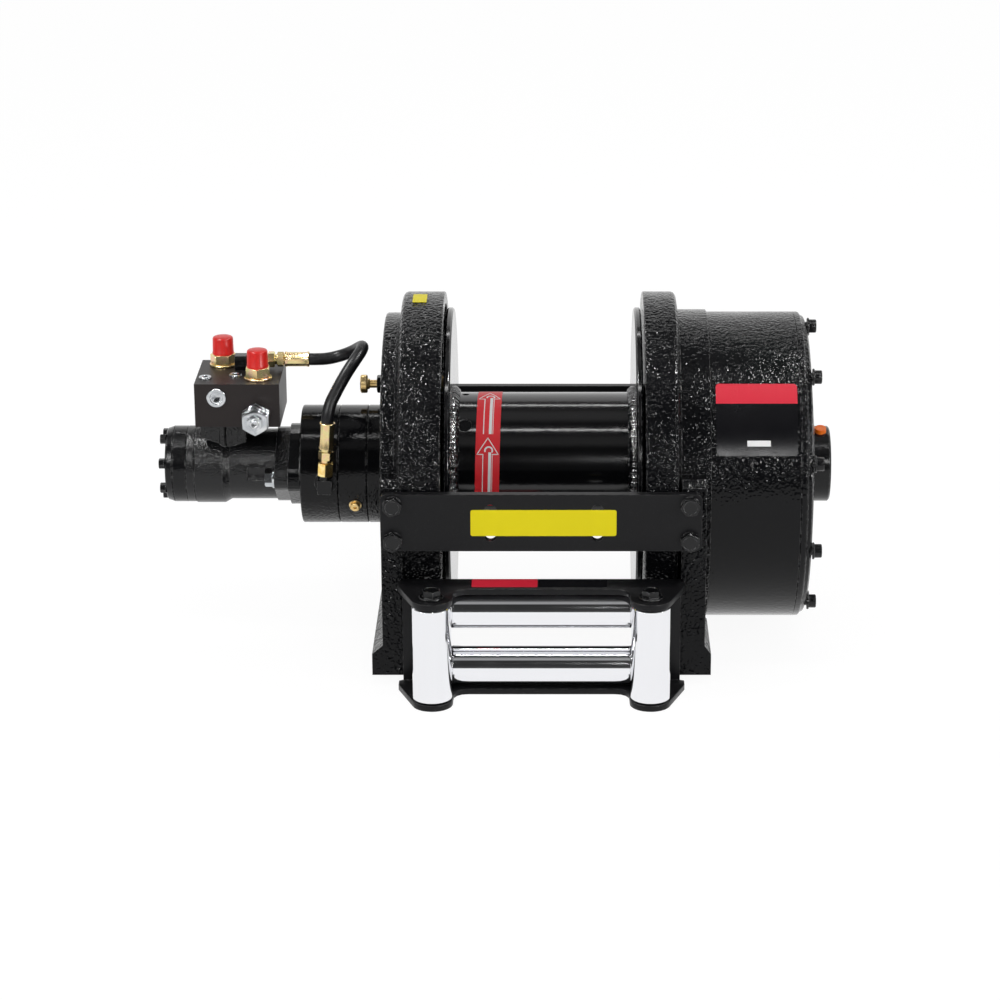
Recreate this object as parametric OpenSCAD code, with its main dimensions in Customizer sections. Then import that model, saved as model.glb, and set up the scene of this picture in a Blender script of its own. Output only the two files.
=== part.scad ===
// Hydraulic planetary winch with a motor, multi-disc brake, air clutch and roller fairlead
// The drum axis runs along X, the rope leaves towards -Y and the feet stand on Z = 0

/* [Drum] */
// Outside diameter of the drum barrel
barrel_d = 171; // [150:1:180]
// Rope space between the drum flanges
drum_w = 214; // [180:1:260]
// Outside diameter of the drum flanges
flange_d = 374; // [340:1:376]
// Thickness of one drum flange
flange_t = 8; // [6:0.5:12]
// Wall of the drum barrel
barrel_wall = 14; // [10:0.5:18]

/* [Side frames] */
// Height of the drum axis over the mounting plane
axis_h = 190; // [188:1:230]
// How far the frame rings stand out over the flanges
ring_over = 19; // [15:0.5:21]
// Width of the left frame ring
left_ring_w = 50; // [44:1:60]
// Width of the right frame ring
right_ring_w = 40; // [36:1:50]
// Width of the raised disc outside the left ring
left_disc_w = 20.5; // [18:0.5:26]
// Width of the shoulder that carries the gear housing
right_disc_w = 35.5; // [30:0.5:40]
// Step from the left ring down to its disc
left_step = 25; // [22:1:40]
// Least room between the gear housing's seat and the tie plates
leg_room = 12; // [8:1:20]
// Height of a foot lip
foot_h = 26; // [18:1:34]
// Diameter of the tapped holes in the feet
foot_hole_d = 14; // [12:0.5:16]

/* [Tie plates] */
// Height of a tie plate
tie_h = 68; // [60:1:80]
// Thickness of a tie plate
tie_t = 10; // [8:0.5:14]

/* [Gear train] */
// Gear module
gear_module = 5; // [4.9:0.05:5.1]
// Play taken off each tooth flank
flank_play = 0.15; // [0.1:0.01:0.2]
// Width of the second stage gears
second_gear_w = 32; // [28:1:34]
// Width of the first stage gears
first_gear_w = 20; // [16:1:22]
// Wall outside the ring teeth
housing_wall = 25.75; // [20:0.25:32]

/* [Brake] */
// Outside diameter of the brake housing
brake_d = 141; // [136:1:150]
// Number of friction discs
friction_discs = 4; // [3:1:4]
// Lift of the brake piston when it is released
brake_travel = 1.5; // [1:0.1:1.7]

/* [Clutch] */
// Outside diameter of the clutch cylinder
clutch_d = 90; // [86:1:100]
// Stroke of the clutch
clutch_travel = 7; // [6.5:0.1:7.2]

/* [Motor] */
// Diameter of the motor body
motor_d = 93; // [88:1:98]
// Width of the valve block along the drum axis
block_w = 100; // [92:1:104]
// Depth of the valve block
block_d = 101; // [94:1:112]
// Height of the valve block
block_h = 52.5; // [48:0.5:60]

/* [Fairlead] */
// Outside diameter of the four rollers
roller_d = 45; // [40:1:46]
// Gap between the two long rollers, for the rope
rope_gap = 24; // [20:1:30]
// Thickness of the fairlead plates
fair_t = 7; // [6:0.5:8]
// Bore of the rollers
roller_bore = 16.2; // [14.2:0.1:18.2]

/* [Hidden] */
$fn = 48;
cut = 1;
play = 0.05;
seat = 0.3;
side_gap = 2;
drum_x = 2;
ring_d = flange_d + 2 * ring_over;

// Stations along the drum axis
x_dl = drum_x - drum_w / 2;
x_dr = drum_x + drum_w / 2;
x_fl = x_dl - flange_t;
x_fr = x_dr + flange_t;
x_lf = x_fl - side_gap;
x_rf = x_fr + side_gap;
x_lring = x_lf - left_ring_w;
x_ldisc = x_lring - left_disc_w;
x_rring = x_rf + right_ring_w;
x_rdisc = x_rring + right_disc_w;
left_disc_r = ring_d / 2 - left_step;

// Gear data
sun_teeth = 12;
planet_teeth = 24;
ring_teeth = sun_teeth + 2 * planet_teeth;
planets = 3;
pressure_angle = 25;
root_share = 1.25;
gear_c = gear_module * (sun_teeth + planet_teeth) / 2;
ring_root_r = gear_module * (ring_teeth / 2 + root_share);
housing_r = ring_root_r + housing_wall;
sun_tip_r = gear_module * (sun_teeth / 2 + 1);
planet_tip_r = gear_module * (planet_teeth / 2 + 1);
ring_tip_r = gear_module * (ring_teeth / 2 - 1);
right_shoulder_extra = 2.8;
right_disc_r = housing_r + right_shoulder_extra;

// Legs, feet and their bolt pattern
leg_y = max(ring_d / 2, right_disc_r + leg_room);
foot_hole_inset = 41;
left_leg_set = 2;
left_leg_w = 23.5;
right_leg_set = 6;
right_leg_w = 28.5;
left_lip = 12.5;
right_lip = 7.5;
lip_chamfer = 10;
edge_round = 2;
edge_round_big = 8;
edge_round_w = 6;
cast_fillet = 4;
disc_edge = 3;
seam_bevel = 1;
leg_out_l = x_ldisc + left_leg_set;
leg_in_l = leg_out_l + left_leg_w;
leg_out_r = x_rdisc - right_leg_set;
leg_in_r = leg_out_r - right_leg_w;
ledge_h = 38;
ledge_chamfer = 8;
foot_relief = 3;
foot_pad_len = 96;
foot_hole_depth = 30;
foot_hole_y = leg_y - foot_hole_inset;
foot_x_l = (leg_out_l - left_lip + leg_in_l) / 2;
foot_x_r = (leg_out_r + right_lip + leg_in_r) / 2;

// Inside of the frames
ring_wall = 14;
frame_web = 15;
hub_seat_r = 70;
hub_boss_r = 85;
hub_r = 60;
bush_len = 42;
bush_inset = 3;
bead = 5;
anchor_x = 14;
anchor_r = 8.5;
anchor_angle = 50;
anchor_screw_r = 4;
anchor_screw_angle = 92;
spigot_len = 8;
frame_ribs = 8;
rib_t = 12;
pilot_r = 30;
disc_recess = 6;
recess_in_r = 86;
recess_out_r = 160;
left_rib_set = 6;
right_rib_set = 8;
right_hollow = 12;
shoulder_lean = 1.5;

// Stations of the gear train
train_gap = 2;
carrier_disc_t = 14;
carrier_cap_t = 8;
second_gap = 4.5;
x_c2 = x_rdisc + second_gap;
x_p2 = x_c2 + carrier_disc_t + train_gap;
x_cap2 = x_p2 + second_gear_w + train_gap;
x_c1 = x_cap2 + carrier_cap_t + train_gap;
first_disc_t = 8;
x_p1 = x_c1 + first_disc_t + train_gap;
x_p1_end = x_p1 + first_gear_w;
pin_head_t = 2.5;
housing_spare = 6;
x_gh = x_p1_end + seat + pin_head_t + housing_spare;
carrier_rim = 28;
carrier_r = gear_c + carrier_rim;
first_carrier_set = 4;
pin2_r = 14;
pin1_r = 12;
pin_head_extra = 4;
post_r = 15;
post_inset = 2;
post_place_r = gear_c - post_inset;
sun_bore_r = 13.2;
carrier_bore_r = 20;
cap_bore_gap = 2;
cap_bore_r = sun_tip_r + cap_bore_gap;
sun_neck_r = 24;

// Shafts and the clutch dog
shaft_r = 12.7;
spline_teeth = 12;
spline_r = 38;
spline_root = 34;
spline_len = 46;
socket_af = 30;
hex_af = 20;
socket_depth = 6;
dog_r = 20;
dog_body_len = 15;
dog_wall = 2.4;
rod_r = 6;
rod_head_r = 9;
rod_head_t = 3;
x_socket = x_p1_end - socket_depth;
hex_reach = 9;
x_hex_end = x_p1_end + hex_reach;
x_dog_end = x_p1_end + seat + dog_body_len;

// Cover and clutch cylinder
cover_rim = 8.5;
cover_rise = 6;
cover_dome = 16;
cover_wall = 7;
cover_bolts_n = 10;
cover_bolt_inset = 11;
cover_bolt_d = 10;
cover_thread = 18;
cover_bolt_spare = 1;
cover_head_r = 8;
cover_head_t = 8.6;
cover_socket_af = 8;
cover_socket_t = 4.6;
cover_washer_r = 9.8;
cover_washer_t = 2.2;
cover_edge = 3;
cover_step_r = 2;
cover_step_t = 4;
cover_seat_r = 4;
dome_r_shares = [0.8, 0.6, 0.4];
dome_t_shares = [0.19, 0.6, 0.96];
cover_collar = 8;
cover_pocket = 6;
cover_pocket_t = 4;
boss_angle = 132;
boss_x = 24;
boss_r = 9;
boss_sink = 10;
boss_t = 11;
clutch_wall = 9;
clutch_len = 21;
clutch_end_t = 4;
clutch_floor_t = 3;
piston_t = 6;
x_cl = x_gh + cover_rim + cover_dome;
x_cl_end = x_cl + clutch_len;
piston_recess = 4;
recess_wall = 6;
plug_angle = 76;
plug_r = 6.7;
plug_proud = 5;
plug_seat = 1;
plug_lip = 1.7;
plug_stub = 6;
clutch_edge = 2;
air_port_x = 9.5;
spring_wall = 5;
spring_set = 1;
clutch_cap_r = 30;

// Brake stack, from the left frame outwards
back_plate_t = 21.5;
x_bp = x_ldisc - back_plate_t;
brake_ring_w = 34;
x_br = x_bp - brake_ring_w;
brake_house_w = 59;
x_bh = x_br - brake_house_w;
brake_r = brake_d / 2;
brake_floor = 13;
adapter_r = 48.5;
adapter_ear_set = 2;
thread_spare = 2;
adapter_w = 14;
ring_shoulder = 7.5;
brake_ring_wall = 10.7;
ring_bore_r = brake_r - brake_ring_wall;
steel_t = 3;
friction_t = 2.6;
disc_gap = 0.3;
lug_h = 4;
lug_angle = 8;
lug_fill_share = 0.94;
lug_turn = 15;
lugs = 6;
hub_spline_r = 26;
hub_spline_root = 23;
hub_len = 64;
hub_gap = 2;
friction_set = 5;
friction_r = ring_bore_r - friction_set;
steel_set = 8;
steel_bore_r = hub_spline_r + steel_set;
stack_len = friction_discs * (steel_t + friction_t + 2 * disc_gap) + steel_t;
x_stack = x_bp - ring_shoulder - disc_gap - stack_len;
brake_house_wall = 12.7;
piston_r = brake_r - brake_house_wall;
piston_set = 4;
piston_bore_r = hub_spline_r + piston_set;
piston_len = 17;
x_pl = x_stack - disc_gap - piston_len;
spring_n = 8;
spring_place_r = (piston_r + piston_bore_r) / 2;
spring_r = 6.2;
pocket_r = 6.5;
pocket_len = 16;
seal_r = 20;
port_depth = 5;
port_boss_r = 13.5;
port_boss_proud = 2;
bleed_x = 20;
bleed_angle = -26;
bleed_r = 4.5;
bleed_depth = 7;
bleed_collar_r = 7.5;
bleed_seat = 1;
bleed_af = 11;
bleed_head_t = 4;

// Motor
motor_r = motor_d / 2;
motor_flange_t = 16;
x_mf = x_bh - motor_flange_t;
motor_body_len = 96.5;
x_mb = x_mf - motor_body_len;
body_full = 33;
neck_taper = 8;
neck_set = 4.5;
neck_r = motor_r - neck_set;
wear_t = 10;
gerotor_t = 17.2;
end_set = 1;
end_lean = 2;
end_round = 3;
seam_w = 1.2;
seam_t = 1.5;
motor_end_r = motor_r - end_set;
shaft_in = 18;
shaft_room = 20;
shaft_split = 8;
motor_flange_set = 2;
end_cover_t = 8.5;
x_mw = x_mb - wear_t;
x_mg = x_mw - gerotor_t;
x_me = x_mg - end_cover_t;
end_bolts = 7;
end_bolt_inset = 9.5;
end_bolt_turn = 18;
end_bolt_shank_r = 4;
end_bolt_r = motor_r - end_bolt_inset;
end_bolt_head_r = 6.2;
end_bolt_head_t = 7;
ear_r = 15;
ear_place = 53.2;
mount_bolt_r = 6.35;
mount_head_af = 19.05;
washer_room = 2;
mount_head_t = 9;
mount_washer_r = 12.5;
mount_washer_t = 3;
mount_bolt_len = 34;
thread_depth = 18;

// Valve block, its place over the motor axis, and its fittings
block_set = 42.5;
block_x = x_mf - block_set;
block_z = 61.8;
pad_set = 20.3;
pad_x = block_x - pad_set;
pad_half = 27;
pad_side_y = 23.5;
pad_tip_y = 33;
pad_round = 5;
port_x_shares = [-0.226, 0.234];
port_y_shares = [0.287, -0.267];
port_hex_af = 27;
port_hex_t = 12;
port_washer_r = 16.5;
port_washer_t = 3;
port_thread_r = 10;
port_thread_len = 16;
port_stub = 10;
cap_r = 12.6;
cap_len = 21.5;
cap_crown = 1.2;
cap_crown_r = 1.6;
cap_lean = 0.5;
port_wall = 4;
front_plug_shares = [-0.24, 0.69];
front_plug_lip = 2.5;
front_plug_r = 11.5;
front_plug_t = 3;
front_plug_hex = 8;
relief_shares = [0.225, 0.25];
relief_af = 31;
relief_h = 34;
relief_af_shares = [1, 0.84, 0.62, 0.35];
relief_z_shares = [0, 0.3, 0.54, 0.72, 1];
relief_stub_r = 11;
top_plug_shares = [[-0.39, -0.257], [-0.04, -0.158]];
plug_lip_r = 2;
plug_hex_share = 0.7;
plug_hex_t = 3;
top_plug_r = 7.5;
top_plug_t = 2.5;
stub_depth = 8;

// Brake line, its route in real sizes over the mounting plane
hose_d = 14.5;
hose_sides = 10;
hose_stub = 7;
elbow_shares = [0, 0.119];
elbow_y = elbow_shares[1] * block_d;
elbow_w = 14;
elbow_h = 18;
line_z = 126.6;
upper_stub_r = 5;
upper_nut_af = 17;
upper_nut_in = 32.5;
upper_nut_out = 52.5;
upper_nut_x0 = block_x + upper_nut_in;
upper_nut_x1 = block_x + upper_nut_out;
nut_len = 8;
nut_neck = 3;
nut_gap = 2;
nut_step = 1;
ferrule_r = 8.6;
ferrule_len = 29;
ferrule_lip = 0.6;
ferrule_collar = 1.6;
hose_route = [[-256, 15, 316.5], [-244, 17, 318.5], [-232.5, 14, 323], [-222, 6, 330], [-215, -6, 337],
    [-211.5, -20, 341], [-212.5, -34, 340], [-218, -47, 334], [-226, -58, 324], [-234, -67, 312],
    [-241, -74, 300], [-246.5, -79.5, 289]];
lower_x = -255;
lower_y = -84;
lower_lean = 3.6;
lower_nut_z = 13;
lower_nut_t = 16;
lower_neck_t = 4;
lower_hex_t = 10;
lower_ferrule_z = 46;
lower_end_z = 78;
lower_nut_af = 17;
line_neck_r = 6;
elbow_stem_r = 7;
elbow_bury = 4;
pilot_len = 8;
elbow_half = 8.5;

// Drag screw through the left frame
drag_r = 96;
drag_out = 31.5;
drag_boss_wall = 6;
drag_pad_r = 14;
drag_angle = 100;
drag_head_r = 11;
drag_head_t = 8.5;
drag_stem_r = 4.8;
drag_nut_af = 19;
drag_nut_t = 5;
shoe_r = 10;
shoe_travel = 1.7;

// Fairlead
fair_x = (leg_in_l + leg_in_r) / 2;
fair_half = (leg_in_r - leg_in_l) / 2;
roller_r = roller_d / 2;
roller_end_gap = 0.65;
fair_inner_h = 2 * roller_d + rope_gap + 2 * roller_end_gap;
fair_drop = 72.7;
fair_top_z = axis_h - fair_drop;
fair_floor_z = fair_top_z - fair_t - fair_inner_h;
web_out = 3;
fair_mid_out = 30;
fair_corner_out = 15;
roller_out = 13;
post_gap = 1;
lobe_over = 5.5;
post_inset_x = 35.7;
fair_corner_in = 6;
fair_back_in = 4;
fair_web_y = leg_y + web_out;
fair_mid_y = leg_y + fair_mid_out;
fair_corner_y = leg_y + fair_corner_out;
roller_y = leg_y + roller_out;
post_y = roller_y + roller_d + post_gap;
lobe_r = roller_r + lobe_over;
post_x = fair_half - post_inset_x;
lobe_cut = 16;
window_inset = 19;
window_half = post_x - window_inset;
bracket_t = 8;
long_end_gap = 1.3;
long_roller_half = window_half - long_end_gap;
cheek_t = 10;
fair_head_t = 8;
fair_washer_r = 14;
fair_washer_t = 2.5;
cheek_depth = 56;
cheek_in = 8;
cheek_back_y = leg_y - cheek_depth;
cheek_back_shares = [0.035, 0.26];
cheek_top_share = 0.694;
long_head_r = 9.5;
long_head_t = 5;
bracket_over = 3;
lobe_lean = 4;
roller_bevel = 2;

// Tie plates
tie_set = 3;
tie_bolt_inset = 13.7;
tie_half = (leg_out_r - leg_out_l) / 2 - tie_set;
tie_x = (foot_x_l + foot_x_r) / 2;
tie_bolt_x = tie_half - tie_bolt_inset;
tie_bolt_set = 2;
tie_hole_shift = 1;
tie_bolt_z = 21.3;
tie_bolt_d = 12;
tie_head_af = 19;
tie_head_t = 7.5;
tie_washer_r = 12.5;
tie_washer_t = 2.5;
tie_bolt_len = 40;
tie_hole_x = 60.9;
tie_hole_z = 15;
tie_hole_d = 14;
tie_round = 6;

// Cross section of a right circular part turned about the drum axis
module at_x(x = 0) {
    translate([x, 0, axis_h]) rotate([0, 90, 0]) children();
}

module disc_x(x0, x1, r) {
    at_x(x0) cylinder(h = x1 - x0, r = r);
}

module tube_x(x0, x1, r_out, r_in) {
    difference() {
        disc_x(x0, x1, r_out);
        disc_x(x0 - cut, x1 + cut, r_in);
    }
}

// Points are [radius, x]
module turned(points) {
    at_x() rotate_extrude() polygon(points);
}

// A place on a circle about the drum axis, counted up from the front
module around(r, angle, x = 0) {
    translate([x, -r * cos(angle), axis_h + r * sin(angle)]) rotate([-angle, 0, 0]) children();
}

module outline_x(x0, x1) {
    translate([x0, 0, 0]) rotate([90, 0, 90]) linear_extrude(x1 - x0) children();
}

module hex_prism(af, h) {
    cylinder(h = h, r = af / 2 / cos(30), $fn = 6);
}

module pointed_x(x) {
    translate([x, 0, 0]) rotate([0, 90, 0]) children();
}

// Involute teeth
function polar(r, a) = [r * cos(a), r * sin(a)];
function inv_deg(a) = tan(a) * 180 / PI - a;
function half_tooth(r, z, play_sign) =
    let (rb = gear_module * z / 2 * cos(pressure_angle))
    90 / z + inv_deg(pressure_angle) - inv_deg(acos(min(1, rb / r)))
        + play_sign * flank_play / r * 180 / PI;
function flank_radii(z, root, tip) =
    let (rb = gear_module * z / 2 * cos(pressure_angle), start = max(rb, root))
    [root, start, (start + gear_module * z / 2) / 2, gear_module * z / 2, tip];
function gear_points(z, root, tip, play_sign, shift = 0) =
    let (radii = flank_radii(z, root, tip), rb = radii[1])
    [for (k = [0:z - 1]) let (mid = (k + shift) * 360 / z) each concat(
        [for (r = radii) polar(r, mid - half_tooth(max(r, rb), z, play_sign))],
        [for (i = [len(radii) - 1:-1:0])
            polar(radii[i], mid + half_tooth(max(radii[i], rb), z, play_sign))])];

module gear(z, w, shift = 0) {
    linear_extrude(w) polygon(gear_points(z, gear_module * (z / 2 - root_share),
        gear_module * (z / 2 + 1), -1, shift));
}

module spline(teeth, r_root, r_tip, grow = 0) {
    step = 360 / teeth;
    wide = step * 0.24;
    grow_angle = grow / r_tip * 180 / PI;
    polygon([for (k = [0:teeth - 1]) each [
        polar(r_root + grow, k * step - wide - grow_angle), polar(r_tip + grow, k * step - wide - grow_angle),
        polar(r_tip + grow, k * step + wide + grow_angle), polar(r_root + grow, k * step + wide + grow_angle)]]);
}

// A rounded flat plate outline
module rounded(w, h, r) {
    signs = [[1, 1], [-1, 1], [-1, -1], [1, -1]];
    polygon([for (i = [0:3], a = [0:30:90])
        [signs[i][0] * (w / 2 - r), signs[i][1] * (h / 2 - r)] + polar(r, i * 90 + a)]);
}

// A quarter round from a face to a rim, as [radius, x], with its corner at [r, x] and its face towards side
function rim(r, x, dr, dx, side, up) =
    [for (i = [0:3]) let (a = (up ? i : 3 - i) * 30) [r - dr * (1 - sin(a)), x + side * dx * (1 - cos(a))]];

// Motor
module motor_end_cover() {
    color("#151618") difference() {
        turned(concat([[0, x_me]], rim(motor_end_r - end_lean, x_me, end_round, end_round, 1, true),
            [[motor_end_r, x_mg], [0, x_mg]]));
        for (i = [0:end_bolts - 1]) around(end_bolt_r, end_bolt_turn + i * 360 / end_bolts, x_me - cut)
            rotate([0, 90, 0]) cylinder(h = end_cover_t + 2 * cut, r = end_bolt_shank_r + play);
    }
}

module gerotor_ring() {
    color("#1b1c1e") union() {
        disc_x(x_mg, x_mg + seam_w, motor_end_r - seam_t);
        disc_x(x_mg + seam_w, x_mw - seam_w, motor_end_r);
        disc_x(x_mw - seam_w, x_mw, motor_end_r - seam_t);
    }
}

module motor_end_bolts() {
    color("#202124") for (i = [0:end_bolts - 1]) around(end_bolt_r,
        end_bolt_turn + i * 360 / end_bolts, 0) union() {
        translate([x_me - end_bolt_head_t, 0, 0]) rotate([0, 90, 0])
            cylinder(h = end_bolt_head_t, r = end_bolt_head_r, $fn = 6);
        translate([x_me, 0, 0]) rotate([0, 90, 0]) cylinder(h = end_cover_t, r = end_bolt_shank_r);
    }
}

module motor_mount_bolts() {
    color("#c9ccd0") for (s = [-1, 1]) translate([x_mf, s * ear_place, axis_h]) union() {
        pointed_x(-mount_washer_t) cylinder(h = mount_washer_t, r = mount_washer_r);
        pointed_x(-mount_washer_t - mount_head_t) hex_prism(mount_head_af, mount_head_t);
        pointed_x(0) cylinder(h = mount_bolt_len, r = mount_bolt_r);
    }
}

// Two circles joined by straight sides, as points
function ear_outline(r_mid, r_ear, place) =
    let (a = acos((r_mid - r_ear) / place))
    concat([for (i = [0:6]) [0, place] + polar(r_ear, 90 - (90 - (90 - a)) + i * (2 * a) / 6)],
        [for (i = [0:6]) polar(r_mid, 90 + a + i * (180 - 2 * a) / 6)],
        [for (i = [0:6]) [0, -place] + polar(r_ear, 270 - a + i * (2 * a) / 6)],
        [for (i = [0:6]) polar(r_mid, -90 + a + i * (180 - 2 * a) / 6)]);

module motor_body() {
    color("#18191b") difference() {
        union() {
            turned([[0, x_mw], [motor_end_r, x_mw], [motor_end_r, x_mb - seam_w], [motor_end_r - seam_t, x_mb - seam_w],
                [motor_end_r - seam_t, x_mb], [motor_r, x_mb], [motor_r, x_mb + body_full],
                [neck_r, x_mb + body_full + neck_taper], [neck_r, x_mf + cut], [0, x_mf + cut]]);
            translate([x_mf, 0, axis_h]) rotate([0, 90, 0]) linear_extrude(motor_flange_t)
                polygon(ear_outline(motor_r - motor_flange_set, ear_r, ear_place));
            translate([pad_x, 0, axis_h]) linear_extrude(block_z) polygon(concat(
                [[-pad_half, pad_side_y], [-pad_half, -pad_side_y]],
                [for (a = [-150:20:-30]) [0, -pad_tip_y + pad_round] + polar(pad_round, a)],
                [[pad_half, -pad_side_y], [pad_half, pad_side_y]],
                [for (a = [30:20:150]) [0, pad_tip_y - pad_round] + polar(pad_round, a)]));
        }
        disc_x(x_mf - shaft_room, x_bh + cut, shaft_r + seat);
        for (s = [-1, 1]) translate([0, s * ear_place, axis_h]) {
            pointed_x(x_mf - cut) cylinder(h = motor_flange_t + 2 * cut, r = mount_bolt_r + seat);
            pointed_x(x_mf - mount_bolt_len) cylinder(h = mount_bolt_len, r = mount_washer_r + washer_room);
        }
    }
}

module motor_shaft() {
    color("#9a9da1") disc_x(x_mf - shaft_in, x_stack - shaft_split, shaft_r - play);
}

// Valve block on the port pad
module on_block(x_share, y_share) {
    translate([block_x + x_share * block_w, y_share * block_d, axis_h + block_z + block_h]) children();
}

module before_block(x_share, z_share) {
    translate([block_x + x_share * block_w, -block_d / 2, axis_h + block_z + z_share * block_h])
        rotate([90, 0, 0]) children();
}

module valve_block() {
    color("#1d1a1a") difference() {
        translate([block_x - block_w / 2, -block_d / 2, axis_h + block_z]) cube([block_w, block_d, block_h]);
        for (i = [0, 1]) on_block(port_x_shares[i], port_y_shares[i]) translate([0, 0, -port_stub - cut])
            cylinder(h = port_stub + 2 * cut, r = port_thread_r + play);
        for (p = top_plug_shares) on_block(p[0], p[1]) translate([0, 0, -stub_depth])
            cylinder(h = stub_depth + cut, r = top_plug_r - plug_lip_r + play);
        on_block(elbow_shares[0], elbow_shares[1]) translate([0, 0, -stub_depth])
            cylinder(h = stub_depth + cut, r = upper_stub_r + play);
        before_block(front_plug_shares[0], front_plug_shares[1]) translate([0, 0, -stub_depth])
            cylinder(h = stub_depth + cut, r = front_plug_r - front_plug_lip + play);
        before_block(relief_shares[0], relief_shares[1]) translate([0, 0, -2 * stub_depth])
            cylinder(h = 2 * stub_depth + cut, r = relief_stub_r + play);
    }
}

module block_plugs() {
    color("#d5d8dc") {
        before_block(front_plug_shares[0], front_plug_shares[1]) difference() {
            union() {
                cylinder(h = front_plug_t, r = front_plug_r);
                translate([0, 0, -stub_depth]) cylinder(h = stub_depth, r = front_plug_r - front_plug_lip);
            }
            translate([0, 0, -plug_hex_t]) hex_prism(front_plug_hex, front_plug_t + plug_hex_t + cut);
        }
        for (p = top_plug_shares) on_block(p[0], p[1]) difference() {
            union() {
                cylinder(h = top_plug_t, r = top_plug_r);
                translate([0, 0, -stub_depth]) cylinder(h = stub_depth, r = top_plug_r - plug_lip_r);
            }
            translate([0, 0, -plug_hex_t]) hex_prism(top_plug_r * plug_hex_share, top_plug_t + plug_hex_t + cut);
        }
    }
}

module relief_cartridge() {
    color("#cfd2d6") before_block(relief_shares[0], relief_shares[1]) union() {
        translate([0, 0, -2 * stub_depth]) cylinder(h = 2 * stub_depth, r = relief_stub_r);
        for (i = [0:len(relief_af_shares) - 1]) translate([0, 0, relief_z_shares[i] * relief_h]) rotate(30)
            hex_prism(relief_af * relief_af_shares[i], (relief_z_shares[i + 1] - relief_z_shares[i]) * relief_h);
    }
}

module port_adapters() {
    color("#c6b457") for (i = [0, 1]) on_block(port_x_shares[i], port_y_shares[i]) difference() {
        union() {
            translate([0, 0, -port_stub]) cylinder(h = port_stub, r = port_thread_r);
            cylinder(h = port_washer_t, r = port_washer_r);
            translate([0, 0, port_washer_t]) rotate(30 * i) hex_prism(port_hex_af, port_hex_t);
            translate([0, 0, port_washer_t + port_hex_t]) cylinder(h = port_thread_len, r = port_thread_r);
        }
        translate([0, 0, -port_stub - cut])
            cylinder(h = port_stub + port_washer_t + port_hex_t + port_thread_len + 2 * cut,
                r = port_thread_r - port_wall);
    }
}

module port_caps() {
    color("#e2352b") for (i = [0, 1]) on_block(port_x_shares[i], port_y_shares[i])
        translate([0, 0, port_washer_t + port_hex_t]) difference() {
            rotate_extrude() polygon([[0, 0], [cap_r, 0], [cap_r - cap_lean, cap_len - cap_crown - cap_crown_r],
                [cap_r - cap_lean - cap_crown_r / 3, cap_len - cap_crown - cap_crown_r / 3],
                [cap_r - cap_lean - cap_crown_r, cap_len - cap_crown], [cap_r / 2, cap_len - cap_crown / 4],
                [0, cap_len]]);
            translate([0, 0, -cut]) cylinder(h = port_thread_len + seat + cut, r = port_thread_r + play);
        }
}

module brake_line_elbow() {
    color("#191a1c") on_block(elbow_shares[0], elbow_shares[1]) union() {
        translate([0, 0, -stub_depth]) cylinder(h = stub_depth + cut, r = upper_stub_r);
        translate([-elbow_w / 2, -elbow_w / 2, 0]) cube([elbow_w, elbow_w, elbow_h]);
        translate([0, 0, line_z - block_z - block_h]) rotate([0, 90, 0])
            cylinder(h = upper_nut_x0 - block_x, r = upper_stub_r);
    }
}

// Swivel nuts and crimped ferrules at both ends of the brake line
module hose_ends() {
    color("#c2ae50") {
        translate([upper_nut_x0, elbow_y, axis_h + line_z]) rotate([0, 90, 0]) union() {
            hex_prism(upper_nut_af, nut_len);
            translate([0, 0, nut_len]) cylinder(h = nut_neck, r = line_neck_r);
            translate([0, 0, nut_len + nut_neck]) rotate(30) hex_prism(upper_nut_af - nut_step, nut_len);
            translate([0, 0, 2 * nut_len + nut_neck])
                cylinder(h = upper_nut_x1 - upper_nut_x0 - 2 * nut_len - nut_neck, r = line_neck_r);
            translate([0, 0, upper_nut_x1 - upper_nut_x0]) ferrule(ferrule_len);
        }
        lower_line() translate([0, 0, lower_nut_z]) union() {
            hex_prism(lower_nut_af, lower_nut_t);
            translate([0, 0, lower_nut_t]) cylinder(h = lower_neck_t, r = line_neck_r);
            translate([0, 0, lower_nut_t + lower_neck_t]) rotate(30)
                hex_prism(lower_nut_af - nut_step, lower_hex_t);
            translate([0, 0, lower_nut_t + lower_neck_t + lower_hex_t])
                cylinder(h = lower_ferrule_z - lower_nut_z - lower_nut_t - lower_neck_t - lower_hex_t,
                    r = elbow_stem_r);
            translate([0, 0, lower_ferrule_z - lower_nut_z]) ferrule(lower_end_z - lower_ferrule_z);
        }
    }
}

// Crimped sleeve with a proud collar at each end
module ferrule(len) {
    rotate_extrude() polygon([[0, 0], [ferrule_r + ferrule_lip, 0], [ferrule_r + ferrule_lip, ferrule_collar],
        [ferrule_r, 2 * ferrule_collar], [ferrule_r, len - 2 * ferrule_collar],
        [ferrule_r + ferrule_lip, len - ferrule_collar], [ferrule_r + ferrule_lip, len], [0, len]]);
}

module lower_line() {
    translate([lower_x, lower_y, axis_h]) rotate([0, lower_lean, 0]) children();
}

// A tube swept along a route, round at each point
function unit(v) = v / norm(v);
function tangent(p, i) = unit(p[min(i + 1, len(p) - 1)] - p[max(i - 1, 0)]);
function side_of(t) = unit(cross(t, [0.2, -0.3, 0.93]));
function ring_at(c, t, r, n) =
    let (u = side_of(t), v = cross(t, u)) [for (k = [0:n - 1]) c + r * (u * cos(k * 360 / n) + v * sin(k * 360 / n))];

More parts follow.
